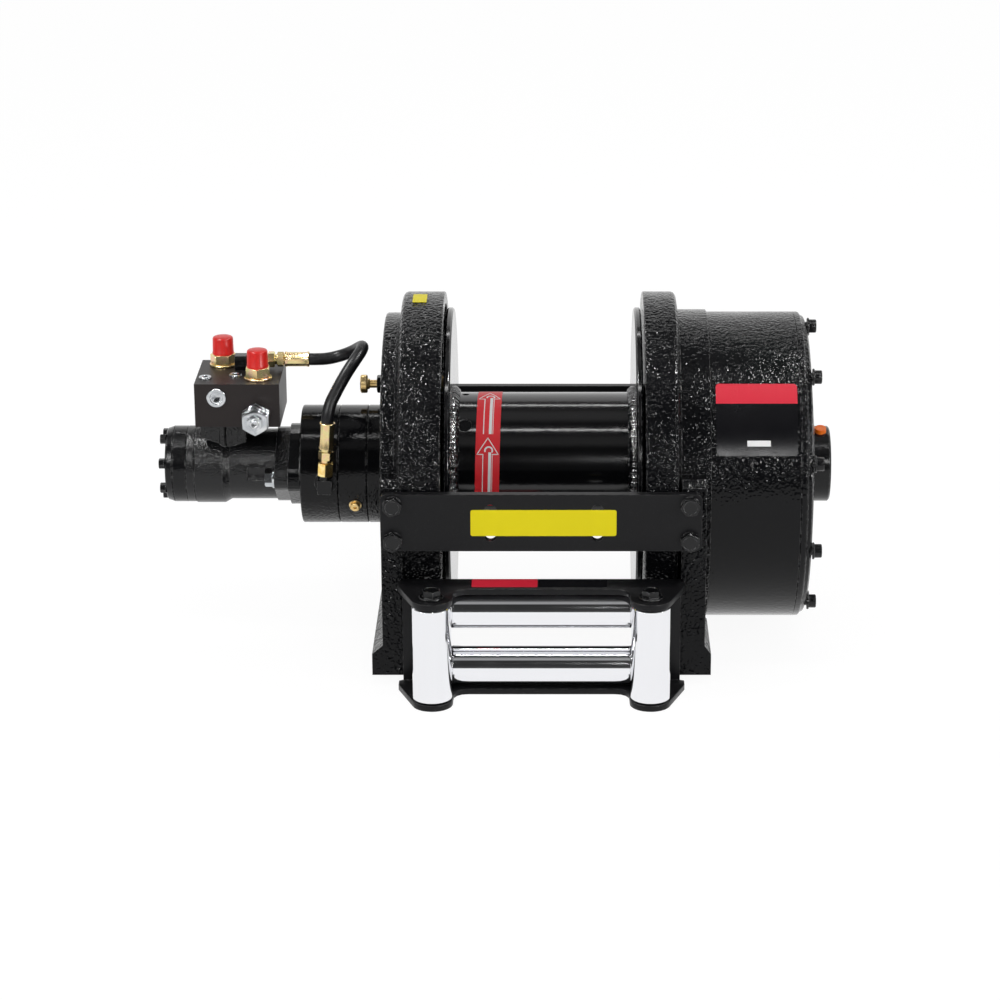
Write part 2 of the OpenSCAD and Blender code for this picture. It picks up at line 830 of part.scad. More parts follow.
module swept(route, r, n) {
    m = len(route);
    points = [for (i = [0:m - 1]) each ring_at(route[i], tangent(route, i), r, n)];
    sides = [for (i = [0:m - 2], k = [0:n - 1])
        [i * n + k, i * n + (k + 1) % n, (i + 1) * n + (k + 1) % n, (i + 1) * n + k]];
    polyhedron(points, concat([[for (k = [0:n - 1]) n - 1 - k]], sides,
        [[for (k = [0:n - 1]) (m - 1) * n + k]]), convexity = 4);
}

module brake_hose() {
    upper_end = [upper_nut_x1 + ferrule_len, elbow_y, axis_h + line_z];
    lower_dir = [sin(lower_lean), 0, cos(lower_lean)];
    lower_end = [lower_x, lower_y, axis_h] + lower_end_z * lower_dir;
    color("#222326") swept(concat([upper_end, upper_end + [hose_stub, 0, 0]], hose_route,
        [lower_end + hose_stub * lower_dir, lower_end]), hose_d / 2, hose_sides);
}

module brake_port_elbow() {
    color("#17181a") union() {
        translate([lower_x, -brake_r + elbow_bury, axis_h]) rotate([90, 0, 0])
            cylinder(h = -lower_y - brake_r + elbow_bury, r = elbow_stem_r);
        translate([lower_x - elbow_half, lower_y - elbow_half, axis_h - elbow_half])
            cube([2 * elbow_half, 2 * elbow_half, 2 * elbow_half]);
        lower_line() cylinder(h = lower_nut_z, r = elbow_stem_r);
    }
}

// Brake
module brake_housing() {
    color("#1a1b1d") difference() {
        union() {
            turned(concat([[0, x_bh + adapter_w]],
                rim(brake_r, x_bh + adapter_w, seam_bevel * 2, seam_bevel * 2, 1, true),
                [[brake_r, x_br - seam_bevel], [brake_r - seam_bevel, x_br], [0, x_br]]));
            translate([lower_x, -brake_r / 2, axis_h]) rotate([90, 0, 0])
                cylinder(h = brake_r / 2 + port_boss_proud, r = port_boss_r);
            translate([x_bh, 0, axis_h]) rotate([0, 90, 0]) linear_extrude(adapter_w)
                polygon(ear_outline(adapter_r, ear_r + adapter_ear_set, ear_place));
        }
        disc_x(x_bh - cut, x_br + cut, seal_r);
        disc_x(x_bp - 3 * seat - hub_gap - hub_len, x_br + cut, hub_spline_r + hub_gap);
        disc_x(x_pl - brake_travel - seat, x_br + cut, piston_r + play);
        disc_x(x_stack - seat, x_br + cut, ring_bore_r + lug_h);
        for (i = [0:spring_n - 1]) around(spring_place_r, i * 360 / spring_n, x_pl - brake_travel - pocket_len)
            rotate([0, 90, 0]) cylinder(h = pocket_len + 2 * cut, r = pocket_r);
        for (s = [-1, 1]) translate([0, s * ear_place, axis_h])
            pointed_x(x_bh - cut) cylinder(h = thread_depth + thread_spare + cut, r = mount_bolt_r + play);
        translate([lower_x, -brake_r - port_boss_proud - cut, axis_h]) rotate([-90, 0, 0])
            cylinder(h = port_depth + port_boss_proud + cut, r = elbow_stem_r + play);
    }
}

module bleed_at() {
    translate([x_br + bleed_x, -brake_r * cos(bleed_angle), axis_h + brake_r * sin(bleed_angle)])
        rotate([90 - bleed_angle, 0, 0]) children();
}

module bevelled_disc(x0, x1) {
    turned([[0, x0], [brake_r - seam_bevel, x0], [brake_r, x0 + seam_bevel], [brake_r, x1 - seam_bevel],
        [brake_r - seam_bevel, x1], [0, x1]]);
}

module brake_ring() {
    color("#191a1c") difference() {
        bevelled_disc(x_br, x_bp);
        disc_x(x_br - cut, x_bp - ring_shoulder, ring_bore_r);
        disc_x(x_br - cut, x_bp + cut, steel_bore_r);
        at_x(x_br - cut) linear_extrude(brake_ring_w - ring_shoulder + cut) lug_shapes(ring_bore_r + lug_h, lug_angle);
        bleed_at() {
            translate([0, 0, -bleed_depth - seat]) cylinder(h = bleed_depth + bleed_seat, r = bleed_r + play);
            translate([0, 0, -bleed_seat]) cylinder(h = 2 * bleed_seat, r = bleed_collar_r + play);
        }
    }
}

module lug_shapes(r, half) {
    for (k = [0:lugs - 1]) rotate(k * 360 / lugs + lug_turn) polygon([polar(ring_bore_r - lug_h, -half),
        polar(r, -half), polar(r, half), polar(ring_bore_r - lug_h, half)]);
}

module bleed_screw() {
    color("#b5803a") bleed_at() union() {
        translate([0, 0, -bleed_depth]) cylinder(h = bleed_depth, r = bleed_r);
        translate([0, 0, -bleed_seat]) cylinder(h = 2 * bleed_seat, r = bleed_collar_r);
        translate([0, 0, bleed_seat]) hex_prism(bleed_af, bleed_head_t);
    }
}

module brake_back_plate() {
    color("#1c1d1f") difference() {
        union() {
            bevelled_disc(x_bp, x_ldisc);
            disc_x(x_ldisc - cut, x_ldisc + pilot_len, pilot_r - play);
        }
        disc_x(x_bp - cut, x_ldisc + pilot_len + cut, shaft_r + seat);
    }
}

module brake_piston() {
    color("#8f9296") tube_x(x_pl, x_pl + piston_len, piston_r, piston_bore_r);
}

module brake_springs() {
    color("#6f7377") for (i = [0:spring_n - 1])
        around(spring_place_r, i * 360 / spring_n, x_pl - brake_travel - pocket_len)
            rotate([0, 90, 0]) cylinder(h = pocket_len + brake_travel - play, r = spring_r);
}

function stack_x(i) = x_stack + i * (steel_t + friction_t + 2 * disc_gap);

module brake_steel_plates() {
    color("#7c8084") for (i = [0:friction_discs]) difference() {
        at_x(stack_x(i)) linear_extrude(steel_t) union() {
            circle(r = ring_bore_r - play);
            lug_shapes(ring_bore_r + lug_h - seat, lug_angle * lug_fill_share);
        }
        disc_x(stack_x(i) - cut, stack_x(i) + steel_t + cut, steel_bore_r);
    }
}

module brake_friction_discs() {
    color("#5b4a3a") for (i = [0:friction_discs - 1]) at_x(stack_x(i) + steel_t + disc_gap)
        linear_extrude(friction_t) difference() {
            circle(r = friction_r);
            spline(spline_teeth, hub_spline_root, hub_spline_r, 2 * play);
        }
}

module brake_hub() {
    color("#a2a5a9") difference() {
        at_x(x_bp - hub_gap - hub_len) linear_extrude(hub_len) spline(spline_teeth, hub_spline_root, hub_spline_r);
        disc_x(x_bp - hub_gap - hub_len - cut, x_bp, shaft_r);
    }
}

// Shaft from the brake hub through the drum to the first sun
module input_shaft() {
    color("#a8abaf") union() {
        disc_x(x_stack + hub_gap, x_socket, shaft_r - play);
        at_x(x_socket - cut) hex_prism(hex_af, x_hex_end - x_socket + cut);
    }
}

// Side frames
module frame_legs(x_out, x_in) {
    lo = min(x_out, x_in);
    hi = max(x_out, x_in);
    outline_x(lo, hi) polygon([[-leg_y, 0], [leg_y, 0], [leg_y, axis_h + ledge_h],
        [leg_y - ledge_chamfer, axis_h + ledge_h + ledge_chamfer],
        [ledge_chamfer - leg_y, axis_h + ledge_h + ledge_chamfer], [-leg_y, axis_h + ledge_h]]);
}

module foot_lip(x_edge, x_leg) {
    side = sign(x_leg - x_edge);
    translate([0, leg_y, 0]) rotate([90, 0, 0]) linear_extrude(2 * leg_y)
        polygon([[x_edge, 0], [x_edge, foot_h], [x_leg, foot_h + lip_chamfer], [x_leg + side * cut, foot_h],
            [x_leg + side * cut, 0]]);
}

module foot_holes(x, side) {
    for (s = [-1, 1]) translate([x, s * foot_hole_y, -cut]) cylinder(h = foot_hole_depth + cut, r = foot_hole_d / 2);
}

module tie_holes() {
    for (sx = [-1, 1], sy = [-1, 1], sz = [-1, 1])
        translate([tie_x + sx * tie_bolt_x, sy * (leg_y + cut), axis_h + sz * tie_bolt_z])
            rotate([sy * 90, 0, 0]) cylinder(h = tie_bolt_len, r = tie_bolt_d / 2 + play);
}

module below_feet() {
    big = 4 * leg_y;
    translate([-big / 2, -big / 2, -big]) cube([big, big, big]);
    translate([-big / 2, foot_pad_len - leg_y, -cut])
        cube([big, 2 * (leg_y - foot_pad_len), foot_relief + cut]);
}

module frame_ribs(x0, x1, r0, r1) {
    for (i = [0:frame_ribs - 1]) around(0, i * 360 / frame_ribs)
        translate([x0, -r1, -rib_t / 2]) cube([x1 - x0, r1 - r0, rib_t]);
}

module left_frame() {
    color("#17181a") difference() {
        union() {
            turned(concat([[0, x_ldisc]], rim(left_disc_r, x_ldisc, disc_edge, disc_edge, 1, true),
                [[left_disc_r, x_lring - cast_fillet], [left_disc_r + cast_fillet, x_lring]],
                rim(ring_d / 2, x_lring, edge_round_big, edge_round_w, 1, true),
                rim(ring_d / 2, x_lf, edge_round, edge_round, -1, false), [[0, x_lf]]));
            frame_legs(leg_out_l, leg_in_l);
            foot_lip(leg_out_l - left_lip, leg_out_l);
        }
        below_feet();
        difference() {
            tube_x(x_lring + frame_web, x_lf + cut, ring_d / 2 - ring_wall, hub_boss_r);
            frame_ribs(x_lring, x_lf - left_rib_set, hub_boss_r - cut, ring_d / 2);
            drag_boss();
            translate([x_lring, -leg_y, 0]) cube([left_ring_w + 2 * cut, 2 * leg_y, foot_h]);
        }
        difference() {
            tube_x(x_ldisc - cut, x_ldisc + disc_recess, recess_out_r, recess_in_r);
            frame_ribs(x_ldisc - 2 * cut, x_ldisc + disc_recess + cut, recess_in_r - cut, recess_out_r + cut);
            around(drag_r, drag_angle, x_ldisc - 2 * cut) rotate([0, 90, 0])
                cylinder(h = disc_recess + 3 * cut, r = drag_pad_r);
        }
        disc_x(x_lring, x_lf + cut, hub_seat_r);
        disc_x(x_ldisc - cut, x_lring + cut, pilot_r);
        foot_holes(foot_x_l, -1);
        tie_holes();
        around(drag_r, drag_angle, x_ldisc - cut) rotate([0, 90, 0])
            cylinder(h = left_disc_w + frame_web + 2 * cut, r = drag_stem_r + play);
        around(drag_r, drag_angle, x_lring + frame_web - shoe_r) rotate([0, 90, 0])
            cylinder(h = left_ring_w, r = shoe_r + play);
    }
}

module drag_boss() {
    around(drag_r, drag_angle, x_lring + frame_web - shoe_r) rotate([0, 90, 0])
        cylinder(h = left_ring_w - frame_web, r = shoe_r + drag_boss_wall);
}

module right_frame() {
    color("#17181a") difference() {
        union() {
            turned(concat([[0, x_rf]], rim(ring_d / 2, x_rf, edge_round, edge_round, 1, true),
                rim(ring_d / 2, x_rring, edge_round_big, edge_round_w, -1, false),
                [[right_disc_r, x_rring + shoulder_lean], [right_disc_r, x_rdisc], [0, x_rdisc]]));
            frame_legs(leg_in_r, leg_out_r);
            foot_lip(leg_out_r + right_lip, leg_out_r);
        }
        below_feet();
        difference() {
            tube_x(x_rf + frame_web, x_rdisc + cut, ring_tip_r + right_hollow, hub_boss_r);
            frame_ribs(x_rf, x_rdisc - right_rib_set, hub_boss_r - cut, ring_d / 2);
        }
        disc_x(x_rf - cut, x_rdisc + cut, hub_seat_r);
        disc_x(x_rdisc, x_rdisc + right_lip, housing_r + housing_spare);
        foot_holes(foot_x_r, 1);
        tie_holes();
    }
}

module drum_bushes() {
    color("#b08d57") {
        tube_x(x_lf - bush_inset - bush_len, x_lf - bush_inset, hub_seat_r - play, hub_r + play);
        tube_x(x_rf + bush_inset, x_rf + bush_inset + bush_len, hub_seat_r - play, hub_r + play);
    }
}

module drag_screw() {
    color("#c9a24a") around(drag_r, drag_angle, 0) union() {
        translate([x_ldisc - drag_out, 0, 0]) rotate([0, 90, 0]) cylinder(h = drag_head_t, r = drag_head_r);
        translate([x_ldisc - drag_out, 0, 0]) rotate([0, 90, 0])
            cylinder(h = drag_out + left_disc_w + frame_web - shoe_r - seat, r = drag_stem_r);
    }
}

module drag_screw_nut() {
    color("#1f2022") around(drag_r, drag_angle, x_ldisc - drag_nut_t) rotate([0, 90, 0]) difference() {
        hex_prism(drag_nut_af, drag_nut_t);
        translate([0, 0, -cut]) cylinder(h = drag_nut_t + 2 * cut, r = drag_stem_r + play);
    }
}

module drag_shoe() {
    color("#7a6a55") around(drag_r, drag_angle, x_lring + frame_web - shoe_r) rotate([0, 90, 0])
        cylinder(h = x_lf - (x_lring + frame_web - shoe_r), r = shoe_r);
}

// Drum, welded from a barrel and two flanges with hubs
module drum_barrel() {
    r = barrel_d / 2;
    color("#1a1b1e") difference() {
        turned([[r - barrel_wall, x_dl], [r + bead, x_dl], [r, x_dl + bead], [r, x_dr - bead], [r + bead, x_dr],
            [r - barrel_wall, x_dr]]);
        around(r, anchor_angle, x_dl + anchor_x) rotate([-90, 0, 0]) translate([0, 0, -barrel_wall - cut])
            cylinder(h = barrel_wall + 3 * cut, r = anchor_r);
        around(r, anchor_screw_angle, x_dl + anchor_x) rotate([-90, 0, 0]) translate([0, 0, -barrel_wall - cut])
            cylinder(h = barrel_wall + 3 * cut, r = anchor_screw_r);
    }
}

module left_drum_flange() {
    color("#1b1c1f") difference() {
        turned([[0, x_lf - bush_inset - bush_len], [hub_r, x_lf - bush_inset - bush_len], [hub_r, x_fl],
            [flange_d / 2 - edge_round, x_fl], [flange_d / 2, x_fl + edge_round], [flange_d / 2, x_dl - edge_round],
            [flange_d / 2 - edge_round, x_dl], [barrel_d / 2 - barrel_wall - play, x_dl],
            [barrel_d / 2 - barrel_wall - play, x_dl + spigot_len], [0, x_dl + spigot_len]]);
        disc_x(x_lring, x_dl + spigot_len + cut, carrier_bore_r);
    }
}

module right_drum_flange() {
    hub_end = x_rf + bush_inset + bush_len;
    color("#1b1c1f") difference() {
        turned([[0, x_dr - spigot_len], [barrel_d / 2 - barrel_wall - play, x_dr - spigot_len],
            [barrel_d / 2 - barrel_wall - play, x_dr], [flange_d / 2 - edge_round, x_dr],
            [flange_d / 2, x_dr + edge_round], [flange_d / 2, x_fr - edge_round], [flange_d / 2 - edge_round, x_fr],
            [hub_r, x_fr], [hub_r, hub_end], [0, hub_end]]);
        disc_x(x_dr - spigot_len - cut, hub_end + cut, carrier_bore_r);
        at_x(hub_end - spline_len) linear_extrude(spline_len + cut)
            spline(spline_teeth, spline_root, spline_r, 2 * play);
    }
}

// Gear train
module gear_housing() {
    color("#151618") difference() {
        union() {
            turned([[0, x_rdisc], [housing_r, x_rdisc], [housing_r, x_gh], [0, x_gh]]);
            around(housing_r - boss_sink, boss_angle, 0) translate([x_rdisc + boss_x, 0, 0]) rotate([-90, 0, 0])
                cylinder(h = boss_t, r = boss_r);
        }
        at_x(x_rdisc - cut) linear_extrude(x_gh - x_rdisc + 2 * cut)
            polygon(gear_points(ring_teeth, ring_tip_r, ring_root_r, 1, 0.5));
        for (i = [0:cover_bolts_n - 1]) around(housing_r - cover_bolt_inset, 90 + i * 360 / cover_bolts_n,
            x_gh - cover_thread) rotate([0, 90, 0]) cylinder(h = cover_thread + cut, r = cover_bolt_d / 2 + play);
    }
}

module planet(x, w, angle, pin_r) {
    at_x(x) rotate(angle) translate([gear_c, 0, 0]) difference() {
        gear(planet_teeth, w, 0.5);
        translate([0, 0, -cut]) cylinder(h = w + 2 * cut, r = pin_r + play);
    }
}

function planet_angle(i) = 180 + i * 360 / planets;

module second_planet(i) {
    color("#86898d") planet(x_p2, second_gear_w, planet_angle(i), pin2_r);
}

module first_planet(i) {
    color("#909397") planet(x_p1, first_gear_w, planet_angle(i), pin1_r);
}

module second_planet_a() { second_planet(0); }
module second_planet_b() { second_planet(1); }
module second_planet_c() { second_planet(2); }
module first_planet_a() { first_planet(0); }
module first_planet_b() { first_planet(1); }
module first_planet_c() { first_planet(2); }

module second_carrier() {
    hub_end = x_rf + bush_inset + bush_len;
    color("#777b80") difference() {
        union() {
            at_x(hub_end - spline_len + seat) linear_extrude(x_c2 - hub_end + spline_len - seat + cut)
                spline(spline_teeth, spline_root, spline_r);
            disc_x(x_c2, x_c2 + carrier_disc_t, carrier_r);
            disc_x(x_cap2, x_cap2 + carrier_cap_t, carrier_r);
            at_x(x_c2 + cut) for (i = [0:planets - 1]) {
                rotate(planet_angle(i)) translate([gear_c, 0, 0])
                    cylinder(h = x_cap2 - x_c2, r = pin2_r);
                rotate(planet_angle(i) + 180 / planets) translate([post_place_r, 0, 0])
                    cylinder(h = x_cap2 - x_c2, r = post_r);
            }
        }
        disc_x(hub_end - spline_len, x_p2 + cut, carrier_bore_r);
        disc_x(x_cap2 - cut, x_cap2 + carrier_cap_t + cut, cap_bore_r);
    }
}

module first_carrier() {
    color("#7f8388") difference() {
        union() {
            at_x(x_p2 + seat) gear(sun_teeth, second_gear_w - seat);
            disc_x(x_p2 + second_gear_w - cut, x_c1 + cut, sun_neck_r);
            disc_x(x_c1, x_c1 + first_disc_t, carrier_r - first_carrier_set);
            at_x(x_c1 + cut) for (i = [0:planets - 1]) rotate(planet_angle(i)) translate([gear_c, 0, 0]) {
                cylinder(h = x_p1_end + seat - x_c1, r = pin1_r);
                translate([0, 0, x_p1_end + seat - x_c1 - cut]) cylinder(h = pin_head_t, r = pin1_r + pin_head_extra);
            }
        }
        disc_x(x_p2, x_p1, sun_bore_r);
    }
}

module first_sun() {
    color("#9b9ea2") difference() {
        at_x(x_p1) gear(sun_teeth, first_gear_w);
        disc_x(x_p1 - cut, x_p1_end + cut, shaft_r + play);
        at_x(x_socket) hex_prism(socket_af, socket_depth + cut);
    }
}

// Cover and clutch
module end_cover() {
    r = housing_r;
    color("#161719") difference() {
        turned(concat([[0, x_gh]], [[r - seam_bevel, x_gh], [r, x_gh + seam_bevel]],
            rim(r, x_gh + cover_rim, cover_edge, cover_edge, -1, false),
            [[r - cover_edge - cover_step_r, x_gh + cover_rim + cover_step_t],
            [r - cover_edge - cover_step_r - cover_seat_r, x_gh + cover_rim + cover_rise]],
            [for (i = [0:len(dome_r_shares) - 1]) [r * dome_r_shares[i],
                x_gh + cover_rim + cover_rise + (cover_dome - cover_rise) * dome_t_shares[i]]],
            [[clutch_d / 2 + cover_collar, x_cl], [0, x_cl]]));
        turned([[0, x_gh - cut], [ring_tip_r, x_gh - cut], [ring_tip_r - cover_pocket, x_gh + cover_pocket_t],
            [0, x_gh + cover_pocket]]);
        disc_x(x_gh, x_cl + cut, clutch_cap_r);
        for (i = [0:cover_bolts_n - 1]) around(r - cover_bolt_inset, 90 + i * 360 / cover_bolts_n, x_gh - cut)
            rotate([0, 90, 0]) cylinder(h = 3 * cover_rim, r = cover_bolt_d / 2 + play);
    }
}

module cover_bolts() {
    seat_x = x_gh + cover_rim + cover_rise + cover_bolt_spare;
    color("#26272a") for (i = [0:cover_bolts_n - 1])
        around(housing_r - cover_bolt_inset, 90 + i * 360 / cover_bolts_n, seat_x) union() {
            pointed_x(x_gh - cover_thread + cut - seat_x)
                cylinder(h = seat_x - x_gh + cover_thread - cut, r = cover_bolt_d / 2);
            pointed_x(0) cylinder(h = cover_washer_t, r = cover_washer_r);
            pointed_x(cover_washer_t) difference() {
                cylinder(h = cover_head_t, r = cover_head_r);
                translate([0, 0, cover_head_t - cover_socket_t]) hex_prism(cover_socket_af, cover_socket_t + cut);
            }
        }
}

module clutch_cylinder() {
    r = clutch_d / 2;
    color("#141517") difference() {
        turned([[0, x_cl - clutch_floor_t], [clutch_cap_r - play, x_cl - clutch_floor_t], [clutch_cap_r - play, x_cl],
            [r, x_cl], [r, x_cl_end - clutch_edge], [r - clutch_edge, x_cl_end], [0, x_cl_end]]);
        disc_x(x_cl + seat, x_cl_end - clutch_end_t, r - clutch_wall);
        disc_x(x_cl - clutch_floor_t - cut, x_cl + cut, rod_r + play);
        plug_at() translate([0, 0, -clutch_wall - cut]) cylinder(h = clutch_wall + 3 * cut, r = plug_r - plug_lip + play);
        plug_at() translate([0, 0, -plug_seat]) cylinder(h = plug_seat + cut, r = plug_r + play);
    }
}

module plug_at() {
    translate([x_cl + air_port_x, 0, axis_h]) rotate([90 - plug_angle, 0, 0]) translate([0, 0, clutch_d / 2]) children();
}

module air_port_plug() {
    color("#e8581c") plug_at() union() {
        translate([0, 0, -plug_stub]) cylinder(h = plug_stub, r = plug_r - plug_lip);
        translate([0, 0, -plug_seat]) cylinder(h = plug_seat + plug_proud, r = plug_r);
    }
}

module clutch_piston() {
    x0 = x_cl + 2 * seat;
    color("#9c9fa3") difference() {
        union() {
            disc_x(x0, x0 + piston_t, clutch_d / 2 - clutch_wall - play);
            disc_x(x_dog_end - dog_wall - rod_head_t, x0 + cut, rod_r);
            disc_x(x_dog_end - dog_wall - rod_head_t - seat, x_dog_end - dog_wall - seat, rod_head_r);
        }
        tube_x(x0 + piston_t - piston_recess, x0 + piston_t + cut, clutch_d / 2 - clutch_wall - recess_wall, rod_head_r);
    }
}

module clutch_spring() {
    x0 = x_cl + 2 * seat + piston_t - piston_recess + play;
    color("#6d7175") tube_x(x0, x_cl_end - clutch_end_t,
        clutch_d / 2 - clutch_wall - recess_wall - spring_set,
        clutch_d / 2 - clutch_wall - recess_wall - spring_set - spring_wall);
}

module clutch_dog() {
    color("#8d9094") difference() {
        union() {
            at_x(x_socket + seat) hex_prism(socket_af - seat, socket_depth + cut);
            disc_x(x_p1_end + seat, x_dog_end, dog_r);
        }
        at_x(x_socket) hex_prism(hex_af + seat, x_hex_end - x_socket + seat);
        disc_x(x_hex_end - seat, x_dog_end - dog_wall, rod_head_r + seat);
        disc_x(x_dog_end - dog_wall - cut, x_dog_end + cut, rod_r + seat);
    }
}

// Tie plates
module tie_plate(side, holes) {
    color("#1f2022") translate([tie_x, 0, axis_h]) difference() {
        translate([0, side * (leg_y + (side > 0 ? tie_t : 0)), 0]) rotate([90, 0, 0]) linear_extrude(tie_t)
            rounded(2 * tie_half, tie_h, tie_round);
        for (sx = [-1, 1], sz = [-1, 1]) {
            translate([sx * tie_bolt_x, side * (leg_y - cut), sz * tie_bolt_z]) rotate([-side * 90, 0, 0])
                cylinder(h = tie_t + 2 * cut, r = tie_bolt_d / 2 + seat);
            if (holes) translate([drum_x + tie_hole_shift + sx * tie_hole_x, side * (leg_y - cut), sz * tie_hole_z])
                rotate([-side * 90, 0, 0]) cylinder(h = tie_t + 2 * cut, r = tie_hole_d / 2);
        }
    }
}

module front_tie_plate() { tie_plate(-1, true); }
module rear_tie_plate() { tie_plate(1, false); }

module tie_bolts() {
    color("#2a2b2e") for (sx = [-1, 1], sy = [-1, 1], sz = [-1, 1])
        translate([tie_x + sx * tie_bolt_x, sy * (leg_y + tie_t), axis_h + sz * tie_bolt_z])
            rotate([-sy * 90, 0, 0]) union() {
                translate([0, 0, tie_bolt_set - tie_bolt_len]) cylinder(h = tie_bolt_len, r = tie_bolt_d / 2);
                cylinder(h = tie_washer_t, r = tie_washer_r);
                translate([0, 0, tie_washer_t]) hex_prism(tie_head_af, tie_head_t);
            }
}

// Fairlead, a bent channel with lobes for the upright rollers and brackets for the long ones
function lobe_half() = concat(
    [[0, -fair_mid_y], [post_x - lobe_r - lobe_cut, -fair_mid_y], [post_x - lobe_r - lobe_cut / 3, -fair_mid_y - lobe_lean],
        [post_x - lobe_r, -post_y + lobe_cut / 2]],
    [for (a = [180:15:345]) [post_x, -post_y] + polar(lobe_r, a)],
    [[fair_half - fair_corner_in, -(fair_corner_y + post_y) / 2], [fair_half, -fair_corner_y],
        [fair_half, fair_back_in - leg_y], [0, fair_back_in - leg_y]]);
function mirrored(p) = [for (i = [len(p) - 1:-1:0]) [-p[i][0], p[i][1]]];

module fair_plate(z) {
    translate([fair_x, 0, z]) linear_extrude(fair_t) polygon(concat(lobe_half(), mirrored(lobe_half())));
}

module fairlead_frame() {
    z_top = fair_top_z - fair_t;
    color("#1d1e20") difference() {
        union() {
            fair_plate(z_top);
            fair_plate(fair_floor_z - fair_t);
            for (s = [-1, 1]) {
                side_x = s > 0 ? window_half : -fair_half;
                translate([fair_x + side_x, -fair_web_y, fair_floor_z - cut])
                    cube([fair_half - window_half, fair_t, fair_inner_h + 2 * cut]);
                bracket_x = s > 0 ? window_half : -window_half - bracket_t;
                translate([fair_x + bracket_x, bracket_over - roller_y - roller_r, fair_floor_z - cut])
                    cube([bracket_t, roller_r + bracket_over, fair_inner_h + 2 * cut]);
                cheek_x = s > 0 ? fair_half - cheek_t : -fair_half;
                translate([fair_x + cheek_x, 0, 0]) rotate([90, 0, 90]) linear_extrude(cheek_t)
                    polygon([[-fair_web_y + cut, fair_floor_z - cut],
                        [-cheek_back_y, fair_floor_z + cheek_back_shares[0] * fair_inner_h],
                        [-cheek_back_y, fair_floor_z + cheek_back_shares[1] * fair_inner_h],
                        [cheek_in - leg_y, fair_floor_z + cheek_top_share * fair_inner_h],
                        [-fair_web_y + cut, fair_floor_z + cheek_top_share * fair_inner_h]]);
            }
        }
        for (s = [-1, 1]) {
            translate([fair_x + s * post_x, -post_y, fair_floor_z - fair_t - cut])
                cylinder(h = fair_inner_h + 2 * fair_t + 2 * cut, r = roller_bore / 2 - play);
            for (z = long_roller_z) translate([fair_x + s * window_half - bracket_t - cut, -roller_y, z])
                rotate([0, 90, 0]) cylinder(h = 2 * (bracket_t + cut), r = roller_bore / 2 - play);
        }
    }
}

long_roller_z = [fair_floor_z + roller_end_gap + roller_r, fair_top_z - fair_t - roller_end_gap - roller_r];

module roller(len) {
    rotate_extrude() polygon([[roller_bore / 2, 0], [roller_r - roller_bevel, 0], [roller_r, roller_bevel],
        [roller_r, len - roller_bevel], [roller_r - roller_bevel, len], [roller_bore / 2, len]]);
}

module upright_roller(s) {
    color("#d9dbde") translate([fair_x + s * post_x, -post_y, fair_floor_z + roller_end_gap])
        roller(fair_inner_h - 2 * roller_end_gap);
}

module long_roller(z) {
    color("#d9dbde") translate([fair_x - long_roller_half, -roller_y, z]) rotate([0, 90, 0])
        roller(2 * long_roller_half);
}

module left_roller() { upright_roller(-1); }
module right_roller() { upright_roller(1); }
module upper_roller() { long_roller(long_roller_z[1]); }
module lower_roller() { long_roller(long_roller_z[0]); }

module roller_bolts() {
    pin = roller_bore / 2 - 2 * play;
    color("#2b2c2f") {
        for (s = [-1, 1]) translate([fair_x + s * post_x, -post_y, fair_floor_z - fair_t]) union() {
            cylinder(h = fair_inner_h + 2 * fair_t, r = pin);
            translate([0, 0, fair_inner_h + 2 * fair_t]) cylinder(h = fair_washer_t, r = fair_washer_r);
            translate([0, 0, fair_inner_h + 2 * fair_t + fair_washer_t])
                hex_prism(tie_head_af, fair_head_t);
        }
        for (z = long_roller_z) translate([fair_x - window_half - bracket_t, -roller_y, z]) rotate([0, 90, 0])
            union() {
                cylinder(h = 2 * (window_half + bracket_t), r = pin);
                translate([0, 0, -long_head_t]) cylinder(h = long_head_t, r = long_head_r);
                translate([0, 0, 2 * (window_half + bracket_t)])
                    cylinder(h = long_head_t, r = long_head_r);
            }
    }
}

motor_end_cover();
motor_end_bolts();
gerotor_ring();
motor_body();
motor_shaft();
motor_mount_bolts();
valve_block();
relief_cartridge();
block_plugs();
port_adapters();
port_caps();
brake_line_elbow();
hose_ends();
brake_hose();
brake_port_elbow();
brake_housing();
brake_ring();
brake_back_plate();
bleed_screw();
brake_piston();
brake_springs();
brake_steel_plates();
brake_friction_discs();
brake_hub();
input_shaft();
left_frame();
right_frame();
front_tie_plate();
rear_tie_plate();
tie_bolts();
drag_screw();
drag_screw_nut();
drag_shoe();
drum_barrel();
left_drum_flange();
right_drum_flange();
drum_bushes();
gear_housing();
end_cover();
cover_bolts();
clutch_cylinder();
air_port_plug();
clutch_piston();
clutch_spring();
clutch_dog();
first_sun();
first_carrier();
first_planet_a();
first_planet_b();
first_planet_c();
second_carrier();
second_planet_a();
second_planet_b();
second_planet_c();
fairlead_frame();
left_roller();
right_roller();
upper_roller();
lower_roller();
roller_bolts();
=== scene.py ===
"""Looks of a hydraulic planetary winch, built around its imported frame."""

import math

import bmesh
import bpy
from mathutils import Matrix, Vector


